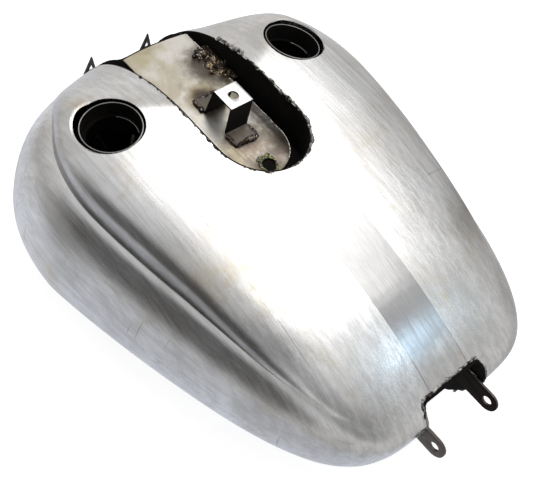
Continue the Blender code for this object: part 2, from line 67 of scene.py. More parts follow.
# The datum of the tank's drawing: the centre of the recess's round end, in the plane of its edge
DATUM = Vector((0.0, 0.0624, 0.1848))

# Outer skin, from the datum: plan outline and side profile
HALF_WIDTH = 215.5 * MM
WIDEST_Y = 29.0 * MM
FRONT_Y = 214.5 * MM
REAR_Y = -314.0 * MM
FRONT_ROUNDNESS = 2.3
REAR_ROUNDNESS = 5.8
REAR_TAPER = 0.345
TAPER_CURVE = 1.3
BACK_FALL = 0.59
EQUATOR_FRONT_Z = -131.0 * MM
EQUATOR_REAR_Z = -79.0 * MM
BOTTOM_Z = -184.8 * MM
BOTTOM_SCALE = 0.60
BOTTOM_ROUNDNESS = 1.83
TOP_ROUNDNESS = (2.8, 9.0)
SIDE_ROUNDNESS = (2.0, 3.55)
REAR_SQUARING = 1.5
CREASE_SCALE = (0.838, 0.883)
CREASE_Z = -40.0 * MM
CREASE_SHOULDER = (4.7, 4.4)
BULGE_ROUNDNESS = 1.15
CREASE_STARTS = (math.radians(25), math.radians(35))
CREASE_ENDS = (math.radians(168), math.radians(45))

# Rows and columns of the fine skin
AROUND = 201
FLAT_ROWS = 12
FLAT_SCALE = 0.62
SHOULDER_ROWS = 22
BULGE_ROWS = 14
UNDER_ROWS = 14
FINE_STEPS = 1440
ROUND_STEPS = 96
SLOT_STEPS = 64
SKIN_SHARP = 32.0

# Recess, tunnel, strip and necks, from the datum
GAP = 0.3 * MM
FAR = 0.6
CUTTER_REACH = 20 * MM
SLOT_HALF = 53.7 * MM
RECESS_DEPTH = 62.0 * MM
STRIP_HALF = 27.4 * MM
TUNNEL_HALF = 43.5 * MM
TUNNEL_CORNER = 8.0 * MM
TUNNEL_TOP_Z = -31.4 * MM
TUNNEL_BEND_Y = -60.0 * MM
TUNNEL_FALL = 0.112
FLOOR_TOP_Z = -29.5 * MM
FLOOR_HALF = 42.0 * MM
NECK_AT = Vector((120.7, 78.9, -3.3)) * MM
NECK_TILT = (math.radians(-4), math.radians(10))
NECK_HOLE_R = 33.4 * MM
BRACKET_Y = 42.0 * MM
BRACKET_SIDE = 28.5 * MM
BRACKET_TOP_Z = 7.7 * MM
BRACKET_SHEET = 2.2 * MM
BRACKET_FOOT = 17.2 * MM
BRACKET_SPLAY = (1.5 * MM, 4.1 * MM)
BRACKET_HOLE_R = 5.5 * MM


def size_property(name, description, default):
    return FloatProperty(name=name, description=description, default=default, min=0.05 * MM, unit="LENGTH")


def colour_property(name, description, default):
    return FloatVectorProperty(name=name, description=description, subtype="COLOR", size=3, default=default)


class TankSizes(bpy.types.PropertyGroup):
    """Sizes that a user would change."""

    sheet: size_property("Sheet", "Thickness of the outer skin", 1.5 * MM)
    weld_width: size_property("Weld width", "Radius of the raw weld beads", 1.7 * MM)
    edge: size_property("Edge", "Rounding of cut sheet edges", 0.35 * MM)


class TankFinish(bpy.types.PropertyGroup):
    """Colours of the bare steel."""

    steel: colour_property("Ground steel", "Ground bare sheet", (0.80, 0.795, 0.785))
    shadow: colour_property("Dull steel", "Duller cloudy areas", (0.60, 0.585, 0.56))
    stain: colour_property("Stain", "Straw and brown stains", (0.50, 0.42, 0.27))
    scale: colour_property("Mill scale", "Dark hot-rolled steel", (0.085, 0.075, 0.07))
    weld: colour_property("Weld", "Raw weld metal", (0.36, 0.345, 0.33))
    burnt: colour_property("Burnt", "Soot round the welds", (0.045, 0.032, 0.024))


def sizes():
    return bpy.context.scene.tank_sizes


def finish():
    return bpy.context.scene.tank_finish


# ---------------------------------------------------------------- nodes


def add_node(kind, inputs, tree=None, **settings):
    """A new node beside the sockets it's joined to; an input is such a socket or a plain value."""
    joined = [value for value in inputs.values() if isinstance(value, bpy.types.NodeSocket)]
    tree = tree or joined[0].id_data
    made = tree.nodes.new(kind)
    for label, value in settings.items():
        setattr(made, label, value)
    for label, value in inputs.items():
        if isinstance(value, bpy.types.NodeSocket):
            tree.links.new(value, made.inputs[label])
        else:
            made.inputs[label].default_value = value
    return made


def math_node(operation, a, b=None, clamp=False):
    inputs = {0: a} if b is None else {0: a, 1: b}
    return add_node("ShaderNodeMath", inputs, operation=operation, use_clamp=clamp).outputs[0]


def plus(a, b):
    return math_node("ADD", a, b)


def times(a, b):
    return math_node("MULTIPLY", a, b)


def axes(vector):
    """A vector's X, Y and Z."""
    return add_node("ShaderNodeSeparateXYZ", {0: vector}).outputs


def ramp(value, low, high, out_low=0.0, out_high=1.0):
    """A smooth step of a value, between two thresholds."""
    inputs = {"Value": value, "From Min": low, "From Max": high, "To Min": out_low, "To Max": out_high}
    return add_node("ShaderNodeMapRange", inputs, interpolation_type="SMOOTHSTEP").outputs["Result"]


def noise(vector, scale, detail=4.0, rough=0.55, stretch=None, turn=(0.0, 0.0, 0.0), distortion=0.0):
    """A noise texture's value, on coordinates that may be stretched and turned first."""
    if stretch is not None:
        mapping = {"Vector": vector, "Scale": stretch, "Rotation": turn}
        vector = add_node("ShaderNodeMapping", mapping).outputs["Vector"]
    inputs = {"Vector": vector, "Scale": scale, "Detail": detail, "Roughness": rough}
    return add_node("ShaderNodeTexNoise", {**inputs, "Distortion": distortion}).outputs["Fac"]


def mixed(factor, first, second):
    """A colour mix; colours are sockets or plain triples."""
    inputs = {MIX_FACTOR: factor}
    for socket, colour in ((MIX_FIRST, first), (MIX_SECOND, second)):
        inputs[socket] = colour if isinstance(colour, bpy.types.NodeSocket) else (*colour, 1.0)
    return add_node("ShaderNodeMix", inputs, data_type="RGBA").outputs[MIX_RESULT]


# Where a Mix node keeps the sockets of its colour mode
MIX_FACTOR, MIX_FIRST, MIX_SECOND, MIX_RESULT = 0, 6, 7, 2


def coat(under, paint, mask, strength):
    """A colour laid over another where a mask says, at most as thick as its strength."""
    return mixed(times(mask, strength), under, paint)


# ---------------------------------------------------------------- shared shader groups


def new_group(name, outputs, **values):
    """An empty shader group: a vector and named numbers in, named numbers out."""
    made = bpy.data.node_groups.new(name, "ShaderNodeTree")
    made.interface.new_socket("Vector", in_out="INPUT", socket_type="NodeSocketVector")
    for label, value in values.items():
        made.interface.new_socket(label, in_out="INPUT", socket_type="NodeSocketFloat").default_value = value
    for label in outputs:
        made.interface.new_socket(label, in_out="OUTPUT", socket_type="NodeSocketFloat")
    return made, made.nodes.new("NodeGroupInput").outputs, made.nodes.new("NodeGroupOutput").inputs


def grinding_group(name):
    """Fine grinding lines in two directions, broken up by clouds: a height and a mask of worn streaks."""
    tree, given, out = new_group(name, ("Height", "Streaks"))
    vector = given["Vector"]
    lengthwise, crosswise = (0.0, 0.0, math.radians(8)), (0.0, 0.0, math.radians(97))
    along = noise(vector, 1.0, 4.0, 0.65, (460.0, 10.0, 460.0), lengthwise)
    across = noise(vector, 1.0, 4.0, 0.65, (460.0, 14.0, 30.0), crosswise)
    clouds = ramp(noise(vector, 9.0, 3.0), 0.42, 0.6)
    both = add_node("ShaderNodeMix", {"Factor": clouds, "A": along, "B": across}, data_type="FLOAT")
    tree.links.new(both.outputs["Result"], out["Height"])
    streak = noise(vector, 1.0, 6.0, 0.7, (190.0, 7.0, 190.0), lengthwise)
    crossed = noise(vector, 1.0, 6.0, 0.7, (170.0, 9.0, 12.0), crosswise)
    either = plus(times(streak, 0.6), times(crossed, 0.4))
    tree.links.new(ramp(either, 0.40, 0.60), out["Streaks"])
    return tree


def blemish_group(name):
    """Stains, scratches and pits of handled bare steel."""
    tree, given, out = new_group(name, ("Stain", "Scratch", "Pits"), Amount=1.0)
    vector = given["Vector"]
    broad = ramp(noise(vector, 14.0, 6.0, 0.62, distortion=0.6), 0.50, 0.74)
    fine = ramp(noise(vector, 70.0, 4.0), 0.38, 0.62)
    tree.links.new(times(times(broad, fine), given["Amount"]), out["Stain"])
    marks = []
    for stretch, turn in (
        ((7.0, 300.0, 7.0), (0.0, 0.0, 0.5)),
        ((300.0, 8.0, 8.0), (0.0, 0.0, 0.3)),
        ((9.0, 9.0, 260.0), (0.3, 0.2, 0.0)),
    ):
        marks.append(ramp(noise(vector, 1.0, 1.0, 0.4, stretch, turn), 0.735, 0.775))
    scratch = math_node("MAXIMUM", math_node("MAXIMUM", marks[0], marks[1]), marks[2])
    gate = ramp(noise(vector, 22.0, 2.0), 0.47, 0.56)
    tree.links.new(times(scratch, gate), out["Scratch"])
    cells = add_node("ShaderNodeTexVoronoi", {"Vector": vector, "Scale": 420.0})
    spots = ramp(cells.outputs["Distance"], 0.07, 0.16, 1.0, 0.0)
    where = ramp(noise(vector, 17.0, 4.0, 0.6), 0.60, 0.68)
    tree.links.new(times(spots, where), out["Pits"])
    return tree


def crease_shade_group(name):
    """A mask of painted shade: a dark band on the wall above the side crease."""
    tree, given, out = new_group(name, ("Mask",))
    vector = given["Vector"]
    x, y, z = axes(vector)
    length = math_node("ABSOLUTE", math_node("SUBTRACT", y, DATUM.y))
    outwards = plus(math_node("ABSOLUTE", x), times(length, 0.27))
    side = ramp(outwards, 154 * MM, 164 * MM)
    height = math_node("SUBTRACT", z, DATUM.z + CREASE_Z)
    frayed = plus(height, times(noise(vector, 45.0, 4.0), 6 * MM))
    above = ramp(height, -0.2 * MM, 0.6 * MM)
    below = ramp(frayed, 12 * MM, 30 * MM, 1.0, 0.0)
    ends = times(ramp(y, -165 * MM, -110 * MM), ramp(y, 180 * MM, 235 * MM, 1.0, 0.0))
    tree.links.new(times(times(above, below), times(side, ends)), out["Mask"])
    return tree


GROUPS = {"grinding_lines": grinding_group, "blemishes": blemish_group, "crease_grime": crease_shade_group}


def use_group(name, vector, **values):
    """Places a shared group, which is built the first time that it's needed."""
    group = bpy.data.node_groups.get(name) or GROUPS[name](name)
    return add_node("ShaderNodeGroup", {"Vector": vector, **values}, node_tree=group).outputs


# ---------------------------------------------------------------- finishes

SCORCH = (0.035, 0.03, 0.034)
BROWN_TINT = (0.20, 0.125, 0.06)
STRAW_TINT = (0.46, 0.38, 0.16)
SEAM_SHADE = (0.16, 0.145, 0.13)
# Colour of the painted shade on the wall above the side crease
CREASE_PAINTED_SHADE = (0.13, 0.122, 0.118)
# Grey of the painted shade on the strip's middle stretch
STRIP_PAINTED_SHADE = (0.36, 0.355, 0.35)
OLD_SEALER = (0.42, 0.52, 0.10)


def start_material(name):
    made = bpy.data.materials.new(name)
    made.use_nodes = True
    nodes = made.node_tree.nodes
    return made, nodes["Principled BSDF"], nodes.new("ShaderNodeTexCoord").outputs["Object"]


def dress(shader, colour, metallic, roughness, bumps):
    """Joins a finish to its shader; each bump is a height, a strength and a depth in metres."""
    link = shader.id_data.links.new
    link(colour, shader.inputs["Base Color"])
    shader.inputs["Metallic"].default_value = metallic
    if isinstance(roughness, float):
        shader.inputs["Roughness"].default_value = roughness
    else:
        link(roughness, shader.inputs["Roughness"])
    under = {}
    for height, strength, depth in bumps:
        inputs = {"Height": height, "Strength": strength, "Distance": depth, **under}
        under = {"Normal": add_node("ShaderNodeBump", inputs).outputs["Normal"]}
    link(under["Normal"], shader.inputs["Normal"])


def strip_seams(coords, colour):
    """Darker lines along the strip's edges, a middle stretch darkened grey as painted shade, and brown heat
    tint at its rear end.
    """
    x, y, _ = axes(coords)
    edge = ramp(math_node("ABSOLUTE", x), STRIP_HALF - 1.1 * MM, STRIP_HALF - 0.2 * MM)
    broken = ramp(noise(coords, 60.0, 4.0), 0.36, 0.56, 0.25, 0.85)
    colour = coat(colour, SEAM_SHADE, edge, broken)
    frayed = plus(y, times(noise(coords, 110.0, 5.0, 0.65), 7 * MM))
    # Painted shade: the strip's middle stretch is darkened to grey.
    cloudy = plus(y, times(noise(coords, 30.0, 3.0), 20 * MM))
    middle = times(ramp(cloudy, -105 * MM, 35 * MM, 1.0, 0.0), ramp(cloudy, -196 * MM, -184 * MM))
    colour = coat(colour, STRIP_PAINTED_SHADE, middle, 0.92)
    burnt = ramp(frayed, -238 * MM, -224 * MM, 1.0, 0.0)
    return coat(colour, (0.17, 0.085, 0.03), burnt, 0.85)


def ground_steel(name, stain_amount=0.6, roughness=(0.17, 0.31), tone=1.0, painted_crease_shade=False, seam=False):
    """Bare sheet, ground and brushed by hand: pale, streaky, a little stained, with pits and scratches."""
    colours = finish()
    made, shader, coords = start_material(name)
    grind = use_group("grinding_lines", coords)
    marks = use_group("blemishes", coords, Amount=stain_amount)
    clouds = ramp(noise(coords, 7.0, 5.0, 0.6), 0.35, 0.68)
    bright, dull = (tuple(tone * c for c in colour) for colour in (colours.steel, colours.shadow))
    colour = mixed(clouds, bright, dull)
    colour = coat(colour, tuple(0.66 * c for c in dull), grind["Streaks"], 0.45)
    colour = mixed(marks["Stain"], colour, colours.stain)
    colour = coat(colour, (0.22, 0.2, 0.18), marks["Scratch"], 0.45)
    colour = coat(colour, (0.16, 0.12, 0.09), marks["Pits"], 0.75)
    # Painted shade: darkens the wall above the side crease.
    if painted_crease_shade:
        colour = coat(colour, CREASE_PAINTED_SHADE, use_group("crease_grime", coords)["Mask"], 0.52)
    if seam:
        colour = strip_seams(coords, colour)
    rough = ramp(grind["Height"], 0.3, 0.7, *roughness)
    rough = math_node("ADD", rough, times(clouds, 0.05), clamp=True)
    dents = (noise(coords, 30.0, 2.0), 0.12, 1.2 * MM)
    lines = (grind["Height"], 0.30, 0.16 * MM)
    dress(shader, colour, 1.0, rough, [dents, lines, (marks["Scratch"], 0.25, -0.08 * MM)])
    return made


def dark_steel(name, tint):
    """Hot-rolled plate with its scale on: dark, dull, with worn brighter patches and a little rust."""
    made, shader, coords = start_material(name)
    marks = use_group("blemishes", coords, Amount=0.8)
    clouds = ramp(noise(coords, 40.0, 5.0, 0.6), 0.35, 0.7)
    colour = mixed(clouds, finish().scale, tint)
    worn = ramp(noise(coords, 120.0, 4.0, 0.65), 0.55, 0.72)
    colour = coat(colour, (0.34, 0.31, 0.3), worn, 0.5)
    colour = coat(colour, (0.16, 0.08, 0.04), marks["Stain"], 0.6)
    rough = ramp(clouds, 0.0, 1.0, 0.42, 0.6)
    dress(shader, colour, 0.85, rough, [(noise(coords, 260.0, 4.0), 0.25, 0.15 * MM)])
    return made


def painted_shade_steel(name, colour=(0.004, 0.0035, 0.003)):
    """Near-black sheet with faint brown clouds and little shine, laid as painted shade on faces that lie in
    shade.
    """
    made, shader, coords = start_material(name)
    clouds = ramp(noise(coords, 60.0, 5.0, 0.6), 0.4, 0.75)
    rust = tuple(0.22 * c for c in finish().burnt)
    shader.inputs["Specular IOR Level"].default_value = 0.12
    grain = (noise(coords, 300.0, 4.0), 0.3, 0.2 * MM)
    dress(shader, mixed(clouds, colour, rust), 0.0, 0.85, [grain])
    return made


def around_point(coords, point, radius, soft):
    """A mask that is one near a point and fades outside it, frayed by noise."""
    away = add_node("ShaderNodeVectorMath", {0: coords, 1: point}, operation="DISTANCE")
    ragged = times(noise(coords, 90.0, 5.0, 0.6), -2 * soft)
    frayed = plus(away.outputs["Value"], ragged)
    return ramp(frayed, radius - soft - 0.5 * soft, radius + 0.2 * soft, 1.0, 0.0)


def tinted_floor(name, hot_points, burnt_and_hole_shade_points):
    """Recess floor: bare sheet with straw, brown and blue heat tint round its welds, sooty burnt patches,
    and the painted shade of the uncut wire hole's inside.
    """
    made, shader, coords = start_material(name)
    grind = use_group("grinding_lines", coords)
    marks = use_group("blemishes", coords, Amount=1.0)
    clouds = ramp(noise(coords, 26.0, 6.0, 0.65, distortion=0.4), 0.36, 0.68)
    colour = mixed(clouds, (0.80, 0.77, 0.71), (0.58, 0.52, 0.41))
    colour = coat(colour, STRAW_TINT, ramp(noise(coords, 15.0, 3.0), 0.45, 0.62), 0.55)
    for point, radius in hot_points:
        halo = around_point(coords, point, radius, radius * 0.5)
        colour = coat(colour, BROWN_TINT, halo, 0.75)
        core = around_point(coords, point, radius * 0.72, radius * 0.3)
        colour = coat(colour, SCORCH, core, 0.8)
    # Dark patches: burns, and the painted shade of the wire hole's inside.
    for point, radius in burnt_and_hole_shade_points:
        patch = around_point(coords, point, radius, radius * 0.6)
        colour = coat(colour, (0.06, 0.042, 0.028), patch, 0.85)
    x, y, _ = axes(coords)
    rear = ramp(math_node("SUBTRACT", times(x, 0.55), y), -112 * MM, -62 * MM)
    blotch = ramp(noise(coords, 85.0, 6.0, 0.7, distortion=0.5), 0.36, 0.60, 0.20, 0.80)
    colour = coat(colour, (0.25, 0.205, 0.165), rear, blotch)
    colour = coat(colour, (0.15, 0.10, 0.055), marks["Stain"], 0.7)
    colour = coat(colour, (0.06, 0.04, 0.03), marks["Pits"], 0.8)
    rough = ramp(grind["Height"], 0.3, 0.7, 0.34, 0.55)
    waves = (noise(coords, 130.0, 5.0, 0.65), 0.3, 0.35 * MM)
    dress(shader, colour, 0.9, rough, [waves, (grind["Height"], 0.2, 0.1 * MM)])
    return made


def weld_metal(name, dark, tint):
    """Raw weld beads: their tint and sooty burnt colour in noisy patches, with bright specks painted in as
    highlights.
    """
    made, shader, coords = start_material(name)
    patches = ramp(noise(coords, 150.0, 4.0, 0.6), 0.62 - 0.3 * dark, 0.80 - 0.3 * dark)
    colour = mixed(patches, tint, finish().burnt)
    # Painted highlight: bright specks laid into the colour as glints.
    glint = ramp(noise(coords, 320.0, 2.0), 0.60, 0.66)
    colour = coat(colour, (0.72, 0.70, 0.68), glint, 0.8)
    rough = ramp(patches, 0.0, 1.0, 0.25, 0.62)
    dress(shader, colour, 0.9, rough, [(noise(coords, 600.0, 3.0), 0.4, 0.2 * MM)])
    return made


def speckled_metal(name):
    """Scorched rim with specks of old yellow-green sealer."""
    made, shader, coords = start_material(name)
    specks = ramp(noise(coords, 420.0, 3.0), 0.53, 0.60)
    bright = ramp(noise(coords, 500.0, 1.0), 0.52, 0.60)
    colour = mixed(specks, finish().burnt, OLD_SEALER)
    colour = coat(colour, (0.75, 0.72, 0.55), bright, 0.35)
    dress(shader, colour, 0.0, 0.4, [(specks, 0.5, 0.3 * MM)])
    return made


# ---------------------------------------------------------------- meshes


def place(piece, node_names=(), material=None):
    """Puts a finished piece on the body, in place of the nodes that it stands for."""
    if material is not None:
        piece.data.materials.clear()
        piece.data.materials.append(material)
    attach(piece, BODY)
    if node_names:
        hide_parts(*node_names)
    return piece


def linked(name, mesh):
    piece = bpy.data.objects.new(name, mesh)
    bpy.context.scene.collection.objects.link(piece)
    return piece


def smoothed(mesh, sharp):
    mesh.shade_smooth()
    mesh.set_sharp_from_angle(angle=math.radians(sharp))


def mesh_from(name, shape):
    mesh = bpy.data.meshes.new(name)
    shape.to_mesh(mesh)
    shape.free()
    return mesh


def piece_from(name, build, sharp=35.0):
    shape = bmesh.new()
    build(shape)
    bmesh.ops.recalc_face_normals(shape, faces=shape.faces)
    mesh = mesh_from(name, shape)
    smoothed(mesh, sharp)
    return linked(name, mesh)


def grid_faces(shape, points):
    verts = [[shape.verts.new(p) for p in row] for row in points]
    for above, below in zip(verts, verts[1:]):
        for i in range(len(above) - 1):
            shape.faces.new((above[i], above[i + 1], below[i + 1], below[i]))
    bmesh.ops.remove_doubles(shape, verts=shape.verts, dist=0.004 * MM)


def close_ends(shape):
    bmesh.ops.holes_fill(shape, edges=[e for e in shape.edges if e.is_boundary])


def face_up(piece):
    """Turns an open sheet over if its highest face looks down."""
    top = max(piece.data.polygons, key=lambda face: face.center.z)
    if top.normal.z < 0:
        piece.data.flip_normals()


def baked(piece):
    """Turns a piece's modifiers into its plain mesh."""
    bpy.context.view_layer.update()
    solid = piece.evaluated_get(bpy.context.evaluated_depsgraph_get())
    mesh = bpy.data.meshes.new_from_object(solid)
    piece.modifiers.clear()
    piece.data = mesh
    return piece


def bake_modifiers(piece, sharp=35.0):
    smoothed(baked(piece).data, sharp)
    return piece


def solidify(piece, thickness, even=True):
    modifier = piece.modifiers.new("sheet", "SOLIDIFY")
    modifier.thickness = thickness
    modifier.offset = -1.0
    modifier.use_even_offset = even


def bevel(piece, width):
    modifier = piece.modifiers.new("edges", "BEVEL")
    modifier.width = width
    modifier.segments = 2
    modifier.limit_method = "ANGLE"
    modifier.angle_limit = math.radians(40.0)


def cut(piece, cutters):
    for i, cutter in enumerate(cutters):
        modifier = piece.modifiers.new(f"cut_{i}", "BOOLEAN")
        modifier.operation = "DIFFERENCE"
        modifier.solver = "MANIFOLD"
        modifier.object = cutter


def prism(name, outline_points, low, high):
    """An upright closed prism from a flat outline."""

    def build(shape):
        verts = [shape.verts.new(Vector((x, y, low)) + DATUM) for x, y in outline_points]
        pulled = bmesh.ops.extrude_face_region(shape, geom=[shape.faces.new(verts)])["geom"]
        moved = [part for part in pulled if isinstance(part, bmesh.types.BMVert)]
        bmesh.ops.translate(shape, vec=(0.0, 0.0, high - low), verts=moved)

    return piece_from(name, build)


def rod(name, radius, start, end, segments=ROUND_STEPS):
    start, end = Vector(start) + DATUM, Vector(end) + DATUM

    def build(shape):
        size = {"segments": segments, "radius1": radius, "radius2": radius, "depth": (end - start).length}
        made = bmesh.ops.create_cone(shape, cap_ends=True, **size)["verts"]
        bmesh.ops.rotate(shape, matrix=(end - start).to_track_quat("Z", "Y").to_matrix(), verts=made)
        bmesh.ops.translate(shape, vec=(start + end) / 2, verts=made)

    return piece_from(name, build)


def remove(pieces):
    for piece in pieces:
        bpy.data.objects.remove(piece, do_unlink=True)


def refined(node, name, edge_width):
    """A copy of a CAD node with its doubles merged, its flat faces joined and its edges rounded."""
    shape = bmesh.new()
    shape.from_mesh(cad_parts[node].data)
    bmesh.ops.remove_doubles(shape, verts=shape.verts, dist=0.01 * MM)
    bmesh.ops.dissolve_limit(shape, angle_limit=math.radians(0.5), verts=shape.verts, edges=shape.edges)
    piece = linked(name, mesh_from(name, shape))
    bevel(piece, edge_width)
    return bake_modifiers(piece)


# ---------------------------------------------------------------- the skin


def smoothstep(value):
    value = np.clip(value, 0.0, 1.0)
    return value * value * (3.0 - 2.0 * value)


def outline():
    """Plan outline from the front middle to the rear middle, at equal steps along it."""
    angle = np.linspace(0.0, math.pi, FINE_STEPS)
    side, ahead = np.sin(angle), np.cos(angle)
    reach = np.where(ahead >= 0, FRONT_Y - WIDEST_Y, WIDEST_Y - REAR_Y)
    power = np.where(ahead >= 0, FRONT_ROUNDNESS, REAR_ROUNDNESS)
    radius = ((side / HALF_WIDTH) ** power + (np.abs(ahead) / reach) ** power) ** (-1.0 / power)
    y = radius * ahead
    back = np.clip(-y / reach, 0.0, 1.0)
    x = radius * side * (1.0 - REAR_TAPER * back**TAPER_CURVE)
    run = np.concatenate([[0.0], np.cumsum(np.hypot(np.diff(x), np.diff(y)))])
    at = np.linspace(0.0, run[-1], AROUND)
    return [np.interp(at, run, row) for row in (angle, x, y, back)]


def spine(y):
    """Height of the ridge along the middle: level at the dash, falling away behind it."""
    return -BACK_FALL * np.minimum(y, 0.0) ** 2


def shoulder_turn(row, rows, power):
    """Angle on a superellipse's quarter: even steps out on its flat top, then even turns down its side."""
    flat = np.arccos((FLAT_SCALE * min(row / FLAT_ROWS, 1.0)) ** (power / 2.0))
    return flat * (1.0 - max(row - FLAT_ROWS, 0) / rows)


def skin_points():
    """Rows of points of the right half, from the ridge over the shoulder, crease and bulge to the bottom."""
    angle, x_out, y_out, back = outline()
    crease = smoothstep((angle - CREASE_STARTS[0]) / CREASE_STARTS[1])
    crease = crease * smoothstep((CREASE_ENDS[0] - angle) / CREASE_ENDS[1])
    squaring = np.clip(-np.cos(angle), 0.0, 1.0) ** REAR_SQUARING
    top_power = TOP_ROUNDNESS[0] + (TOP_ROUNDNESS[1] - TOP_ROUNDNESS[0]) * squaring
    side_power = SIDE_ROUNDNESS[0] + (SIDE_ROUNDNESS[1] - SIDE_ROUNDNESS[0]) * squaring
    equator = EQUATOR_FRONT_Z + (EQUATOR_REAR_Z - EQUATOR_FRONT_Z) * back
    crease_at = CREASE_SCALE[0] + (CREASE_SCALE[1] - CREASE_SCALE[0]) * back

    def placed(scale, foot, rise, summit=None):
        y = WIDEST_Y + y_out * scale
        z = foot + ((spine(y) if summit is None else summit) - foot) * rise
        return np.stack([x_out * scale, y, z], axis=-1)

    rows = []
    for row in range(FLAT_ROWS + SHOULDER_ROWS + BULGE_ROWS + 1):
        turn = shoulder_turn(row, SHOULDER_ROWS + BULGE_ROWS, top_power)
        plain = placed(np.cos(turn) ** (2.0 / top_power), equator, np.sin(turn) ** (2.0 / side_power))
        if row <= FLAT_ROWS + SHOULDER_ROWS:
            turn = shoulder_turn(row, SHOULDER_ROWS, CREASE_SHOULDER[0])
            scale = crease_at * np.cos(turn) ** (2.0 / CREASE_SHOULDER[0])
            creased = placed(scale, CREASE_Z, np.sin(turn) ** (2.0 / CREASE_SHOULDER[1]))
        else:
            turn = 0.5 * math.pi * (1.0 - (row - FLAT_ROWS - SHOULDER_ROWS) / BULGE_ROWS)
            scale = crease_at + (1.0 - crease_at) * math.cos(turn) ** BULGE_ROUNDNESS
            creased = placed(scale, equator, math.sin(turn), CREASE_Z)
        rows.append(plain + (creased - plain) * crease[:, None])
    for row in range(1, UNDER_ROWS + 1):
        turn = 0.5 * math.pi * row / UNDER_ROWS
        scale = BOTTOM_SCALE + (1.0 - BOTTOM_SCALE) * math.cos(turn) ** (2.0 / BOTTOM_ROUNDNESS)
        rows.append(placed(scale, equator, math.sin(turn), BOTTOM_Z))
    return np.array(rows) + np.array(DATUM)


def slot_outline():
    """The recess in plan: straight sides that run out over the front, and a round rear end."""
    turn = [math.pi * i / SLOT_STEPS for i in range(SLOT_STEPS + 1)]
    rear = [(SLOT_HALF * math.cos(a), -SLOT_HALF * math.sin(a)) for a in turn]
    return [(SLOT_HALF, FAR), *rear, (-SLOT_HALF, FAR)]


def tunnel_section(half, corner, steps=10):
    turn = [0.5 * math.pi * i / steps for i in range(steps + 1)]
    right = [(half - corner + corner * math.cos(a), corner * math.sin(a) - corner) for a in turn]
    return [(half, -FAR), *right, *[(-x, z) for x, z in reversed(right)], (-half, -FAR)]


def tunnel_top(y):
    return TUNNEL_TOP_Z + TUNNEL_FALL * min(y - TUNNEL_BEND_Y, 0.0)


def tunnel_space(name, margin):
    section = tunnel_section(TUNNEL_HALF + margin, TUNNEL_CORNER + margin)
    stations = (-FAR, TUNNEL_BEND_Y, FAR)
    rows = [[Vector((x, y, tunnel_top(y) + z + margin)) + DATUM for x, z in section] for y in stations]

    def build(shape):
        grid_faces(shape, rows)
        close_ends(shape)

    return piece_from(name, build)


def neck_frame(sign):
    """A filler's centre and its outward axis."""
    tilt, lean = NECK_TILT
    axis = Vector((sign * math.sin(lean), -math.sin(tilt), 1.0)).normalized()
    return Vector((sign * NECK_AT.x, NECK_AT.y, NECK_AT.z)), axis


def surface_z(points, x, y):
    """Height of the upper skin above a place in plan, on the right half."""
    top = points[: FLAT_ROWS + SHOULDER_ROWS].reshape(-1, 3)
    distance = np.hypot(top[:, 0] - abs(x), top[:, 1] - y)
    near = np.argsort(distance)[:6]
    weights = 1.0 / (distance[near] + 0.2 * MM) ** 2
    return float(np.average(top[near, 2], weights=weights))


class TANK_OT_skins(bpy.types.Operator):
    """Outer half skins and the centre strip, as fine sheets with their openings cut"""

    bl_idname = "tank.skins"
    bl_label = "Skins"

    def execute(self, context):
        points = skin_points()
        # The skins' steel carries the painted shade above the side crease.
        steel = ground_steel("ground_steel", painted_crease_shade=True)
        strip_steel = ground_steel("strip_steel", 0.45, (0.13, 0.20), 0.86, seam=True)
        strip = [(-STRIP_HALF, -FAR), (STRIP_HALF, -FAR), (STRIP_HALF, 0.0), (-STRIP_HALF, 0.0)]
        cutters = [
            prism("slot_space", slot_outline(), -RECESS_DEPTH - MM, FAR),
            tunnel_space("tunnel_space", GAP),
            prism("strip_space", strip, -150 * MM, FAR),
        ]
        for sign, side in SIDES:
            rows = points * np.array([sign, 1.0, 1.0])
            skin = piece_from(f"{side}_skin", lambda shape, rows=rows: grid_faces(shape, rows))
            face_up(skin)
            solidify(skin, sizes().sheet)
            centre, axis = neck_frame(sign)
            reach = axis * CUTTER_REACH
            hole = rod(f"{side}_hole", NECK_HOLE_R, centre - reach, centre + reach)
            dish = neck_dish(side, sign, centre, axis)
            cut(skin, [*cutters, hole, dish])
            bake_modifiers(skin, SKIN_SHARP)
            remove([hole, dish])
            place(skin, [f"{side}_shell"], steel)
        make_strip(points, cutters[:2], strip_steel)
        remove(cutters)
        return {"FINISHED"}


# The dish round each neck, in millimetres: its mouth's radius, and how far that is moved outwards
DISH_MOUTHS = {"left": (41.0, 3.4), "right": (36.5, 1.2)}


def neck_dish(side, sign, centre, axis):
    """A shallow cone that opens the skin's hole outwards, wider on the tank's outer side."""
    turn = axis.to_track_quat("Z", "Y").to_matrix()
    mouth, outwards = DISH_MOUTHS[side]
    rings = ((33.2, -1.25, 0.0), (mouth, 2.2, outwards), (mouth, 6.0, outwards))

    def build(shape):
        rows = []
        for radius, height, shift in rings:
            ring = []
            for i in range(ROUND_STEPS + 1):
                a = 2.0 * math.pi * i / ROUND_STEPS
                flat = Vector((radius * math.cos(a) + sign * shift, radius * math.sin(a), height)) * MM
                ring.append(turn @ flat + centre + DATUM)
            rows.append(ring)
        grid_faces(shape, rows)
        close_ends(shape)

    return piece_from(f"{side}_dish", build)


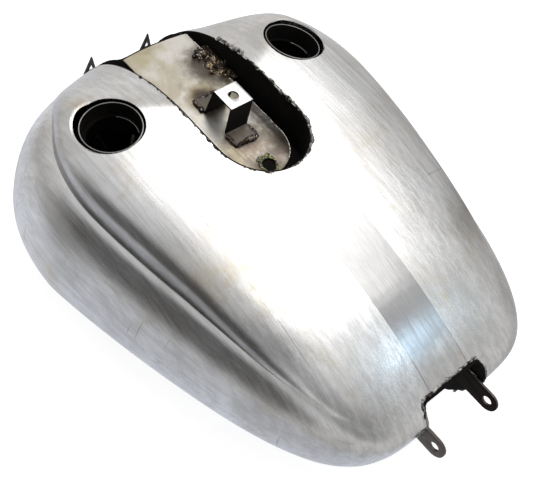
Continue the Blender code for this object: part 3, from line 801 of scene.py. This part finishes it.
def make_strip(points, cutters, material):
    """The strip behind the recess, flush with the skins on each side of it."""
    ridge = points[: FLAT_ROWS + SHOULDER_ROWS + BULGE_ROWS + 1, -1]
    start = DATUM.y - 20.0 * MM
    y_fine = np.linspace(start, ridge[ridge[:, 1] < start][-1, 1] + 2.0 * MM, 120)
    z_fine = np.interp(-y_fine, -ridge[:, 1], ridge[:, 2])
    across = np.linspace(-STRIP_HALF, STRIP_HALF, 13)
    rows = [[(x, y, z) for x in across] for y, z in zip(y_fine, z_fine)]
    strip = piece_from("strip_skin", lambda shape: grid_faces(shape, rows))
    face_up(strip)
    solidify(strip, sizes().sheet)
    cut(strip, cutters)
    bake_modifiers(strip, SKIN_SHARP)
    place(strip, ["centre_strip"], material)


# ---------------------------------------------------------------- welds


def weld_tree():
    """Geometry nodes that lay a rippled weld bead along the edges of a mesh."""
    tree = bpy.data.node_groups.new("weld_bead", "GeometryNodeTree")
    face = tree.interface
    face.new_socket("Geometry", in_out="INPUT", socket_type="NodeSocketGeometry")
    for label, value in (("Radius", 1.5 * MM), ("Step", 0.6 * MM), ("Unevenness", 0.6), ("Seed", 0.0)):
        face.new_socket(label, in_out="INPUT", socket_type="NodeSocketFloat").default_value = value
    face.new_socket("Metal", in_out="INPUT", socket_type="NodeSocketMaterial")
    face.new_socket("Geometry", in_out="OUTPUT", socket_type="NodeSocketGeometry")
    given = tree.nodes.new("NodeGroupInput").outputs
    radius, uneven = given["Radius"], given["Unevenness"]

    def lumps(scale, detail):
        inputs = {"W": given["Seed"], "Scale": scale, "Detail": detail}
        return add_node("ShaderNodeTexNoise", inputs, noise_dimensions="4D").outputs["Fac"]

    def step(kind, label, inputs, **settings):
        return add_node(f"GeometryNode{kind}", inputs, tree, **settings).outputs[label]

    path = step("MeshToCurve", "Curve", {"Mesh": given["Geometry"]})
    path = step("ResampleCurve", "Curve", {"Curve": path, "Length": given["Step"]}, mode="LENGTH")
    thinnest, thickest = math_node("SUBTRACT", 1.0, uneven), plus(1.0, uneven)
    spread = {"Value": lumps(150.0, 3.0), "From Min": 0.3, "From Max": 0.7}
    spread = add_node("ShaderNodeMapRange", {**spread, "To Min": thinnest, "To Max": thickest})
    size = times(radius, spread.outputs["Result"])
    ring = step("CurvePrimitiveCircle", "Curve", {"Resolution": 10, "Radius": 1.0})
    sweep = {"Curve": path, "Profile Curve": ring, "Scale": size, "Fill Caps": True}
    metal = step("CurveToMesh", "Mesh", sweep)
    reach = times(math_node("SUBTRACT", lumps(420.0, 2.0), 0.5), radius)
    outwards = {0: step("InputNormal", "Normal", {}), "Scale": reach}
    push = add_node("ShaderNodeVectorMath", outwards, operation="SCALE").outputs["Vector"]
    metal = step("SetPosition", "Geometry", {"Geometry": metal, "Offset": push})
    metal = step("SetShadeSmooth", "Geometry", {"Geometry": metal})
    metal = step("RealizeInstances", "Geometry", {"Geometry": metal})
    metal = step("SetMaterial", "Geometry", {"Geometry": metal, "Material": given["Metal"]})
    add_node("NodeGroupOutput", {"Geometry": metal})
    return tree


def bead(tree, name, paths, radius, material, unevenness, seed):
    """One weld piece along one or more open paths, given as points in the object's frame."""
    points, edges = [], []
    for path in paths:
        first = len(points)
        points += [tuple(p) for p in path]
        edges += [(first + i, first + i + 1) for i in range(len(path) - 1)]
    mesh = bpy.data.meshes.new(name)
    mesh.from_pydata(points, edges, [])
    piece = linked(name, mesh)
    modifier = piece.modifiers.new("bead", "NODES")
    modifier.node_group = tree
    values = {"Radius": radius, "Unevenness": unevenness, "Seed": seed, "Metal": material}
    for item in tree.interface.items_tree:
        if item.item_type == "SOCKET" and item.in_out == "INPUT" and item.name in values:
            modifier[item.identifier] = values[item.name]
    return place(baked(piece))


def wavering(path, reach, seed):
    """A path whose points wander a little sideways, from a fixed seed."""
    chance = np.random.default_rng(seed)
    points = np.array([tuple(p) for p in path])
    shift = chance.normal(0.0, reach, points.shape)
    kernel = np.ones(3) / 3.0
    for axis in range(3):
        shift[:, axis] = np.convolve(shift[:, axis], kernel, mode="same")
    return points + shift


class TANK_OT_welds(bpy.types.Operator):
    """Weld beads round the recess, the rear mouth, the bracket's feet and the tabs"""

    bl_idname = "tank.welds"
    bl_label = "Welds"

    def execute(self, context):
        points = skin_points()
        tree = weld_tree()
        raw = weld_metal("raw_weld", 0.62, finish().weld)
        bright = weld_metal("bright_weld", 0.2, (0.66, 0.64, 0.6))
        burnt = weld_metal("burnt_weld", 0.95, (0.2, 0.17, 0.14))
        width = sizes().weld_width

        def on_edge(x, y, lift=0.0):
            return (x, y + DATUM.y, surface_z(points, x, y + DATUM.y) + lift)

        half = SLOT_HALF
        rear = [(half * math.cos(a), -half * math.sin(a)) for a in np.linspace(0.0, math.pi, 60)]
        right_side = [(half, y) for y in np.linspace(128 * MM, 1 * MM, 64)]
        left_side = [(-half, -y) for y in np.linspace(-1 * MM, -126 * MM, 60)]
        corner = 34  # the point of the round end where the raw weld gives way to the sooty one
        right = [on_edge(x + 0.4 * MM, y, -0.3 * MM) for x, y in right_side + rear[:corner]]
        left = [on_edge(x - 0.2 * MM, y, -1.1 * MM) for x, y in rear[corner:] + left_side]
        inner = [(x - 1.3 * MM * x / abs(x), y, z - 0.5 * MM) for x, y, z in right if abs(x) > 20 * MM]
        bead(tree, "right_recess_weld", [wavering(right, 0.5 * MM, 3)], width * 0.75, raw, 0.85, 1.7)
        bead(tree, "right_recess_lip", [wavering(inner, 0.25 * MM, 5)], width * 0.42, bright, 0.8, 3.3)
        bead(tree, "left_recess_weld", [wavering(left, 0.35 * MM, 4)], width * 0.72, burnt, 0.95, 5.1)
        front = [on_edge(x + 1.6 * MM, y + 4 * MM, 0.2 * MM) for x, y in right_side[2:22]]
        bead(tree, "front_recess_weld", [wavering(front, 0.9 * MM, 13)], width * 0.9, raw, 0.9, 8.8)
        make_bracket_welds(tree, burnt)
        make_mouth_welds(tree, raw, points)
        return {"FINISHED"}


def make_bracket_welds(tree, burnt):
    """Fillets round three sides of each foot of the dash bracket."""
    z = FLOOR_TOP_Z + 0.9 * MM
    half = BRACKET_SIDE / 2
    rear = BRACKET_Y - half - BRACKET_SPLAY[0]
    front = BRACKET_Y + half + BRACKET_SPLAY[1]
    for name, near, tip in (
        ("rear_foot_weld", rear - 2 * MM, rear - BRACKET_FOOT),
        ("front_foot_weld", front + 2 * MM, front + BRACKET_FOOT),
    ):
        corners = [(-half, near), (-half, tip), (half, tip), (half, near)]
        path = []
        for (x0, y0), (x1, y1) in zip(corners, corners[1:]):
            path += [(x0 + (x1 - x0) * t, y0 + (y1 - y0) * t) for t in np.linspace(0.0, 1.0, 12)[:-1]]
        placed = [Vector((x, y, z)) + DATUM for x, y in [*path, corners[-1]]]
        bead(tree, name, [wavering(placed, 0.35 * MM, len(name))], 2.4 * MM, burnt, 0.4, len(name))


def make_mouth_welds(tree, raw, points):
    """The ragged weld round the tunnel's rear mouth, and the fillets at the roots of the tabs."""
    ridge = points[: FLAT_ROWS + SHOULDER_ROWS + BULGE_ROWS + UNDER_ROWS + 1]
    section = tunnel_section(TUNNEL_HALF, TUNNEL_CORNER)
    flat = ridge.reshape(-1, 3)
    rear = flat[flat[:, 1] < DATUM.y - 240 * MM]

    def outer_y(x, z):
        distance = np.hypot(rear[:, 0] - abs(x), rear[:, 2] - z)
        near = np.argsort(distance)[:5]
        return float(np.average(rear[near, 1], weights=1.0 / (distance[near] + 0.3 * MM)))

    top = tunnel_top(-290 * MM) + DATUM.z
    side = [(TUNNEL_HALF, -d) for d in np.linspace(70 * MM, 10 * MM, 26)]
    arch = [p for p in section if p[1] > -FAR]
    across = [arch[0]]
    for (x0, z0), (x1, z1) in zip(arch, arch[1:]):
        steps = max(int(math.hypot(x1 - x0, z1 - z0) / (2.5 * MM)), 1)
        across += [(x0 + (x1 - x0) * t / steps, z0 + (z1 - z0) * t / steps) for t in range(1, steps + 1)]
    mouth = side + across + [(-x, z) for x, z in reversed(side)]
    path = [(x, outer_y(x, z + top), z + top) for x, z in mouth]
    bead(tree, "rear_mouth_weld", [wavering(path, 0.5 * MM, 8)], 1.1 * MM, raw, 0.85, 9.3)
    for sign, side_name in SIDES:
        low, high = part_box(f"rear_{side_name}_tab")
        x = low.x if sign < 0 else high.x
        along = np.linspace(low.y + 34 * MM, high.y - 4 * MM, 16)
        roots = [wavering([(x, y, z) for y in along], 0.3 * MM, 11) for z in (low.z + MM, high.z - MM)]
        bead(tree, f"rear_{side_name}_tab_weld", roots, 1.6 * MM, raw, 0.4, 2.0)


# ---------------------------------------------------------------- necks, bracket, floor and mounts


def turned_piece(name, profile, centre, axis):
    """A turned ring from a closed profile of radius and height, on its own axis."""
    turn = axis.to_track_quat("Z", "Y").to_matrix()

    def build(shape):
        rows = []
        for i in range(ROUND_STEPS + 1):
            a = 2.0 * math.pi * i / ROUND_STEPS
            ring = [Vector((r * math.cos(a), r * math.sin(a), z)) for r, z in [*profile, profile[0]]]
            rows.append([turn @ p + centre + DATUM for p in ring])
        grid_faces(shape, rows)

    return piece_from(name, build)


def corner_arc(before, here, after, near, steps):
    """Points of a smooth curve that cuts a corner, starting a distance before it."""
    here = Vector(here)
    start = here + (Vector(before) - here).normalized() * near
    end = here + (Vector(after) - here).normalized() * near
    parts = [k / steps for k in range(steps + 1)]
    return [tuple(start * (1 - t) ** 2 + here * 2 * t * (1 - t) + end * t**2) for t in parts]


def rounded_profile(profile, radius):
    """A closed profile with each corner cut by a short arc."""
    made = []
    for before, here, after in zip([profile[-1], *profile], profile, [*profile[1:], profile[0]]):
        shortest = min((Vector(other) - Vector(here)).length for other in (before, after))
        made += corner_arc(before, here, after, min(radius, shortest * 0.45), 3)
    return made


def neck_profile(rim):
    """A neck's section, as radius and height: rim, flange in the skin's hole, tube and seat lip."""
    inner, outer, lip = 29.0 * MM, 31.0 * MM, 25.5 * MM
    depth, flange = -46.0 * MM, NECK_HOLE_R - GAP
    return [
        (inner + 0.7 * MM, rim),
        (outer, rim),
        (outer, -11.0 * MM),
        (flange, -11.0 * MM),
        (flange, -12.5 * MM),
        (outer, -12.5 * MM),
        (outer, depth),
        (inner, depth),
        (inner, -22.0 * MM),
        (lip, -22.0 * MM),
        (lip, -20.5 * MM),
        (inner, -20.5 * MM),
    ]


# How far each neck's rim stands from the skin's hole
NECK_RIMS = {"left": -4.5 * MM, "right": -2.6 * MM}


class TANK_OT_necks(bpy.types.Operator):
    """Filler necks: a turned ring with a seat lip"""

    bl_idname = "tank.necks"
    bl_label = "Filler necks"

    def execute(self, context):
        steel = ground_steel("turned_steel", 0.2, (0.2, 0.32), 0.5)
        # Painted shade: faces deep inside each neck are made near-black.
        shade_paint = painted_shade_steel("neck_painted_shade")
        for sign, side in SIDES:
            centre, axis = neck_frame(sign)
            profile = rounded_profile(neck_profile(NECK_RIMS[side]), 0.5 * MM)
            neck = turned_piece(f"{side}_neck_ring", profile, centre, axis)
            place(neck, [f"{side}_filler_neck"], steel)
            paint_inside(neck, shade_paint, centre + DATUM, axis, -5.6 * MM)
            paint_lip(neck, steel, centre + DATUM, axis)
        return {"FINISHED"}


def paint_inside(piece, material, centre, axis, below):
    """Gives the faces deeper than a level a second material."""
    piece.data.materials.append(material)
    for face in piece.data.polygons:
        if (face.center - centre).dot(axis) < below:
            face.material_index = 1


def paint_lip(piece, material, centre, axis):
    """Gives a short arc of the seat lip's inner edge the bare steel again, out of the painted shade, where
    light falls on it.
    """
    piece.data.materials.append(material)
    for face in piece.data.polygons:
        offset = face.center - centre
        depth = offset.dot(axis)
        around = math.degrees(math.atan2(offset.y, offset.x))
        rubbed = -24.0 < around < 38.0 and (offset - axis * depth).length < 26.6 * MM
        if rubbed and -22.5 * MM < depth < -19.0 * MM:
            face.material_index = 2


class TANK_OT_bracket(bpy.types.Operator):
    """The hat-shaped dash bracket, bent from one strip, with its bolt hole"""

    bl_idname = "tank.bracket"
    bl_label = "Dash bracket"

    def execute(self, context):
        half = BRACKET_SIDE / 2
        rear, front = BRACKET_Y - half, BRACKET_Y + half
        foot_z = FLOOR_TOP_Z + GAP + BRACKET_SHEET
        path = [
            (rear - BRACKET_SPLAY[0] - BRACKET_FOOT, foot_z),
            (rear - BRACKET_SPLAY[0], foot_z),
            (rear, BRACKET_TOP_Z),
            (front, BRACKET_TOP_Z),
            (front + BRACKET_SPLAY[1], foot_z),
            (front + BRACKET_SPLAY[1] + BRACKET_FOOT, foot_z),
        ]
        bends = open_bends(path, 1.6 * MM)
        across = np.linspace(-half, half, 9)
        rows = [[Vector((x, y, z)) + DATUM for x in across] for y, z in bends]
        bracket = piece_from("dash_bracket_strip", lambda shape: grid_faces(shape, rows))
        face_up(bracket)
        solidify(bracket, BRACKET_SHEET)
        hole = rod("bracket_hole", BRACKET_HOLE_R, (0, BRACKET_Y, 0), (0, BRACKET_Y, CUTTER_REACH), 48)
        cut(bracket, [hole])
        bevel(bracket, sizes().edge)
        bake_modifiers(bracket)
        remove([hole])
        steel = ground_steel("bracket_steel", 0.1, (0.2, 0.3), 1.1)
        place(bracket, ["dash_bracket"], steel)
        # Painted shade: faces that stand upright or look down are made near-black.
        bracket.data.materials.append(painted_shade_steel("bracket_painted_shade", (0.012, 0.011, 0.01)))
        bracket.data.materials.append(dark_steel("foot_steel", (0.17, 0.145, 0.115)))
        for face in bracket.data.polygons:
            upright, foot = face.normal.z < 0.5, face.center.z < DATUM.z - 20 * MM
            face.material_index = 1 if upright else 2 if foot else 0
        return {"FINISHED"}


def open_bends(path, radius):
    """An open path with its inner corners rounded."""
    corners = zip(path, path[1:], path[2:])
    arcs = [point for corner in corners for point in corner_arc(*corner, radius, 5)]
    return [path[0], *arcs, path[-1]]


def on_floor(x, y, lift=0.0):
    """A place on the recess's floor, from the datum's in plan."""
    return Vector((x, y, FLOOR_TOP_Z + lift)) + DATUM


class TANK_OT_recess(bpy.types.Operator):
    """The dash recess: its tinted floor, its wall and gutters in near-black painted shade, and the burnt
    lumps at its front
    """

    bl_idname = "tank.recess"
    bl_label = "Dash recess"

    def execute(self, context):
        half = BRACKET_SIDE / 2
        feet = [(on_floor(0, y), 17 * MM) for y in (BRACKET_Y - half - 13 * MM, BRACKET_Y + half + 17 * MM)]
        burns_and_hole_shade = [
            (on_floor(36 * MM, 112 * MM), 23 * MM),
            # Painted shade: the dark inside of the wire hole, which is not cut, with burnt tint round it.
            (on_floor(0, -28 * MM), 15 * MM),
            (on_floor(36 * MM, -14 * MM), 15 * MM),
        ]
        floor_steel = tinted_floor("tinted_steel", feet, burns_and_hole_shade)
        floor = refined("dash_floor", "recess_floor", 0.6 * MM)
        place(floor, ["dash_floor"], floor_steel)
        # Painted shade: the recess's wall and gutters are made near-black.
        shade_paint = painted_shade_steel("recess_painted_shade")
        for node, name in (
            ("dash_wall", "recess_wall"),
            ("left_recess_gutter", "left_gutter"),
            ("right_recess_gutter", "right_gutter"),
        ):
            place(refined(node, name, 0.15 * MM), [node], shade_paint)
        make_burnt_lumps()
        return {"FINISHED"}


def make_burnt_patch(metal):
    """A melted, cratered patch at the floor's front right, standing a few millimetres proud."""
    centre, reach = on_floor(39 * MM, 110 * MM), Vector((12 * MM, 27 * MM))

    def build(shape):
        rows = []
        for i in range(57):
            row = []
            for k in range(45):
                u, v = k / 22.0 - 1.0, i / 28.0 - 1.0
                edge = 1.0 - math.sqrt(min(u * u + v * v, 1.0))
                at = Vector((centre.x + reach.x * u, centre.y + reach.y * v, 0.0))
                lump = mathutils.noise.fractal(at * 130.0, 0.9, 2.1, 4)
                ridge = abs(mathutils.noise.noise(at * 210.0 + Vector((7.0, 3.0, 0.0))))
                rise = min(edge * 3.5, 1.0) * (1.6 + 3.2 * lump - 3.0 * ridge) - 0.5
                at.x += 1.6 * MM * lump * edge
                row.append((at.x, at.y, centre.z + max(rise, -0.9) * MM))
            rows.append(row)
        grid_faces(shape, rows)

    patch = piece_from("burnt_patch", build, 70.0)
    face_up(patch)
    solidify(patch, 0.8 * MM, even=False)
    bake_modifiers(patch, 70.0)
    place(patch, (), metal)


def make_burnt_lumps():
    """Drips of weld spatter where the floor was burnt through at its front right."""
    chance = np.random.default_rng(21)
    metal = weld_metal("spatter", 0.8, (0.34, 0.26, 0.17))
    make_burnt_patch(metal)
    tree = bpy.data.node_groups["weld_bead"]
    centre = on_floor(37 * MM, 110 * MM, 0.8 * MM)
    paths = []
    for _ in range(15):
        start = centre + Vector((chance.normal(0, 5 * MM), chance.normal(0, 12 * MM), 0.4 * MM))
        turn = chance.uniform(0, math.pi)
        step = Vector((math.cos(turn), math.sin(turn), 0)) * chance.uniform(1.2, 2.6) * MM
        paths.append([start + step * i + Vector((0, 0, chance.normal(0, 0.7 * MM))) for i in range(5)])
    bead(tree, "floor_spatter", paths, 1.5 * MM, metal, 0.85, 4.0)
    turn = np.linspace(0.0, 2.0 * math.pi, 40)
    hole = on_floor(0.0, -26.0 * MM, -0.2 * MM)
    rims = []
    for reach, angles in ((9.0 * MM, turn), (10.6 * MM, turn[2:20]), (12.0 * MM, turn[5:16])):
        rim = [(hole.x + reach * math.cos(a), hole.y + reach * math.sin(a), hole.z) for a in angles]
        rims.append(wavering(rim, 0.7 * MM, 6))
    bead(tree, "wire_hole_rim", rims, 1.2 * MM, speckled_metal("speckled_rim"), 0.9, 6.0)
    worn = weld_metal("worn_edge", 0.35, (0.62, 0.60, 0.56))
    edge = FLOOR_HALF - 0.5 * MM
    straight = [(edge, y) for y in np.linspace(88 * MM, 5 * MM, 28)]
    bend = [(edge * math.cos(a), 4 * MM - edge * math.sin(a)) for a in np.linspace(0.0, 0.95, 14)]
    front = [(edge, y) for y in np.linspace(146 * MM, 128 * MM, 8)]
    lines = []
    for flat in (straight + bend, front):
        lines.append(wavering([on_floor(x, y, -0.5 * MM) for x, y in flat], 0.3 * MM, 9))
    bead(tree, "floor_edge_roll", lines, 0.9 * MM, worn, 0.45, 7.0)


class TANK_OT_mounts(bpy.types.Operator):
    """Rear tabs and front lugs, in dark plate with broken edges"""

    bl_idname = "tank.mounts"
    bl_label = "Tabs and lugs"

    def execute(self, context):
        plate = dark_steel("plate_scale", (0.15, 0.13, 0.12))
        # Painted shade: the right tab's faces towards the tunnel are made near-black.
        shade_paint = painted_shade_steel("tab_painted_shade", (0.012, 0.008, 0.007))
        for node in ("rear_left_tab", "rear_right_tab", "front_left_lug", "front_right_lug"):
            piece = place(refined(node, f"{node}_plate", sizes().edge), [node], plate)
            if node == "rear_right_tab":
                paint_inside(piece, shade_paint, Vector(), Vector((1.0, 0.0, 0.0)), TUNNEL_HALF - 5.0 * MM)
        return {"FINISHED"}


UNDERSIDE = (
    "left_bottom_pan",
    "right_bottom_pan",
    "petcock_bung",
    "vent_tube",
    "left_crossover_nipple",
    "right_crossover_nipple",
    "left_baffle",
    "right_baffle",
    "tunnel",
)


class TANK_OT_underside(bpy.types.Operator):
    """Tunnel, bottom pans, fittings, vent and baffles"""

    bl_idname = "tank.underside"
    bl_label = "Underside"

    def execute(self, context):
        sheet = ground_steel("pan_steel", 0.9, (0.34, 0.5))
        # Painted shade: the tunnel is made near-black.
        inside = painted_shade_steel("tunnel_painted_shade", (0.006, 0.005, 0.005))
        for node in UNDERSIDE:
            material = inside if node == "tunnel" else sheet
            place(refined(node, f"{node}_metal", 0.2 * MM), [node], material)
        return {"FINISHED"}


# ---------------------------------------------------------------- stage


class TANK_OT_stage(bpy.types.Operator):
    """Pale floor, soft studio light and the camera"""

    bl_idname = "tank.stage"
    bl_label = "Stage"

    def execute(self, context):
        make_floor()
        make_light("key", (0.66, 0.22, 1.33), (1.42, 0.80), 6.6, (1.0, 0.99, 0.98), math.radians(-24))
        make_light("window", (0.850, -0.790, 1.100), (0.22, 0.13), 0.30, (0.52, 0.78, 1.0))
        make_world()
        make_camera()
        context.scene.view_settings.view_transform = "Standard"
        return {"FINISHED"}


def make_floor():
    def build(shape):
        bmesh.ops.create_grid(shape, x_segments=1, y_segments=1, size=60.0)

    floor = piece_from("studio_floor", build)
    face_up(floor)
    material, shader, _ = start_material("pale_floor")
    for label, value in (
        ("Base Color", (0.8, 0.8, 0.8, 1.0)),
        ("Roughness", 0.9),
        ("Emission Color", (1.0, 1.0, 1.0, 1.0)),
        ("Emission Strength", 0.7),
    ):
        shader.inputs[label].default_value = value
    floor.data.materials.append(material)
    floor.visible_glossy = False


def aimed(name, data, place_at, towards, roll):
    """A light or camera that looks a way, rolled about its own axis."""
    made = linked(name, data)
    made.location = place_at
    facing = towards.to_track_quat("-Z", "Y")
    made.rotation_euler = (facing @ Quaternion((0.0, 0.0, 1.0), roll)).to_euler()
    return made


def make_light(name, offset, size, power, colour, roll=0.0):
    data = bpy.data.lights.new(name, "AREA")
    data.shape = "RECTANGLE"
    data.size, data.size_y = size
    data.energy = power
    data.color = colour
    aim = DATUM + Vector((0.0, -50 * MM, -50 * MM))
    aimed(name, data, aim + Vector(offset), -Vector(offset), roll)


# Panels of the studio: where each hangs, the cosines where it begins and is full, and how much it darkens
# the dome; a panel below zero lights it instead
PANELS = (
    ((-0.92, 0.03, 0.38), 0.72, 0.94, 0.80),
    ((-0.55, 0.10, 0.83), 0.70, 0.98, 0.30),
    ((0.10, -0.60, 0.79), 0.84, 0.97, 0.55),
    ((-0.87, 0.46, -0.10), 0.90, 0.99, 0.35),
    ((0.33, -0.38, 0.87), 0.978, 0.997, -1.20),
    ((0.92, 0.05, 0.28), 0.80, 0.95, 0.20),
    ((0.57, 0.81, -0.16), 0.75, 0.95, -0.35),
    ((-0.25, 0.72, -0.62), 0.80, 0.97, -0.30),
)


def make_world():
    """A soft studio dome, paler above than at the horizon, with its panels."""
    world = bpy.data.worlds.new("studio")
    bpy.context.scene.world = world
    world.use_nodes = True
    tree = world.node_tree
    background = tree.nodes["Background"]
    coords = tree.nodes.new("ShaderNodeTexCoord").outputs["Generated"]
    up = plus(times(axes(coords)[2], 0.5), 0.5)
    colours = add_node("ShaderNodeValToRGB", {"Fac": up})
    stops = (
        (-1.0, (0.67, 0.70, 0.78)),
        (-0.55, (0.60, 0.62, 0.67)),
        (-0.25, (0.58, 0.58, 0.59)),
        (0.20, (0.68, 0.67, 0.67)),
        (0.70, (0.84, 0.85, 0.87)),
    )
    elements = colours.color_ramp.elements
    for i, (at, colour) in enumerate(stops):
        stop = elements[i] if i < 2 else elements.new(at)
        stop.position = 0.5 + 0.5 * at
        stop.color = (*colour, 1.0)
    shade = None
    for towards, start, full, depth in PANELS:
        inputs = {0: coords, 1: Vector(towards).normalized()}
        facing = add_node("ShaderNodeVectorMath", inputs, operation="DOT_PRODUCT")
        lit = ramp(facing.outputs["Value"], start, full, 1.0, 1.0 - depth)
        shade = lit if shade is None else times(shade, lit)
    tree.links.new(colours.outputs["Color"], background.inputs["Color"])
    tree.links.new(shade, background.inputs["Strength"])


CAMERA_AT = Vector((-0.5359, -0.3765, 0.6911))
CAMERA_AIM = Vector((0.5330, 0.3293, -0.7794))
CAMERA_ROLL = math.radians(21.18)
CAMERA_LENS = 65.34
CAMERA_SHIFT = (-0.002, -0.0503)


def make_camera():
    data = bpy.data.cameras.new("camera")
    data.lens = CAMERA_LENS
    data.sensor_width = 36.0
    data.shift_x, data.shift_y = CAMERA_SHIFT
    data.clip_start = 0.01
    bpy.context.scene.camera = aimed("camera", data, CAMERA_AT + DATUM, CAMERA_AIM, CAMERA_ROLL)


class TANK_PT_panel(bpy.types.Panel):
    """Lists the pieces of the tank"""

    bl_label = "Fuel Tank"
    bl_idname = "TANK_PT_panel"
    bl_space_type = "VIEW_3D"
    bl_region_type = "UI"
    bl_category = "Fuel Tank"

    def draw(self, context):
        for kind in OPERATORS:
            self.layout.operator(kind.bl_idname)
        for group in (context.scene.tank_sizes, context.scene.tank_finish):
            box = self.layout.box()
            for label in group.__annotations__:
                box.prop(group, label)


OPERATORS = (
    TANK_OT_skins,
    TANK_OT_necks,
    TANK_OT_bracket,
    TANK_OT_welds,
    TANK_OT_recess,
    TANK_OT_mounts,
    TANK_OT_underside,
    TANK_OT_stage,
)
CLASSES = (TankSizes, TankFinish, *OPERATORS, TANK_PT_panel)


def register():
    for kind in CLASSES:
        bpy.utils.register_class(kind)
    bpy.types.Scene.tank_sizes = PointerProperty(type=TankSizes)
    bpy.types.Scene.tank_finish = PointerProperty(type=TankFinish)


def unregister():
    del bpy.types.Scene.tank_finish
    del bpy.types.Scene.tank_sizes
    for kind in reversed(CLASSES):
        bpy.utils.unregister_class(kind)


def main():
    register()
    for make in (
        bpy.ops.tank.skins,
        bpy.ops.tank.necks,
        bpy.ops.tank.bracket,
        bpy.ops.tank.welds,
        bpy.ops.tank.recess,
        bpy.ops.tank.mounts,
        bpy.ops.tank.underside,
        bpy.ops.tank.stage,
    ):
        make()


if __name__ == "__main__":
    main()
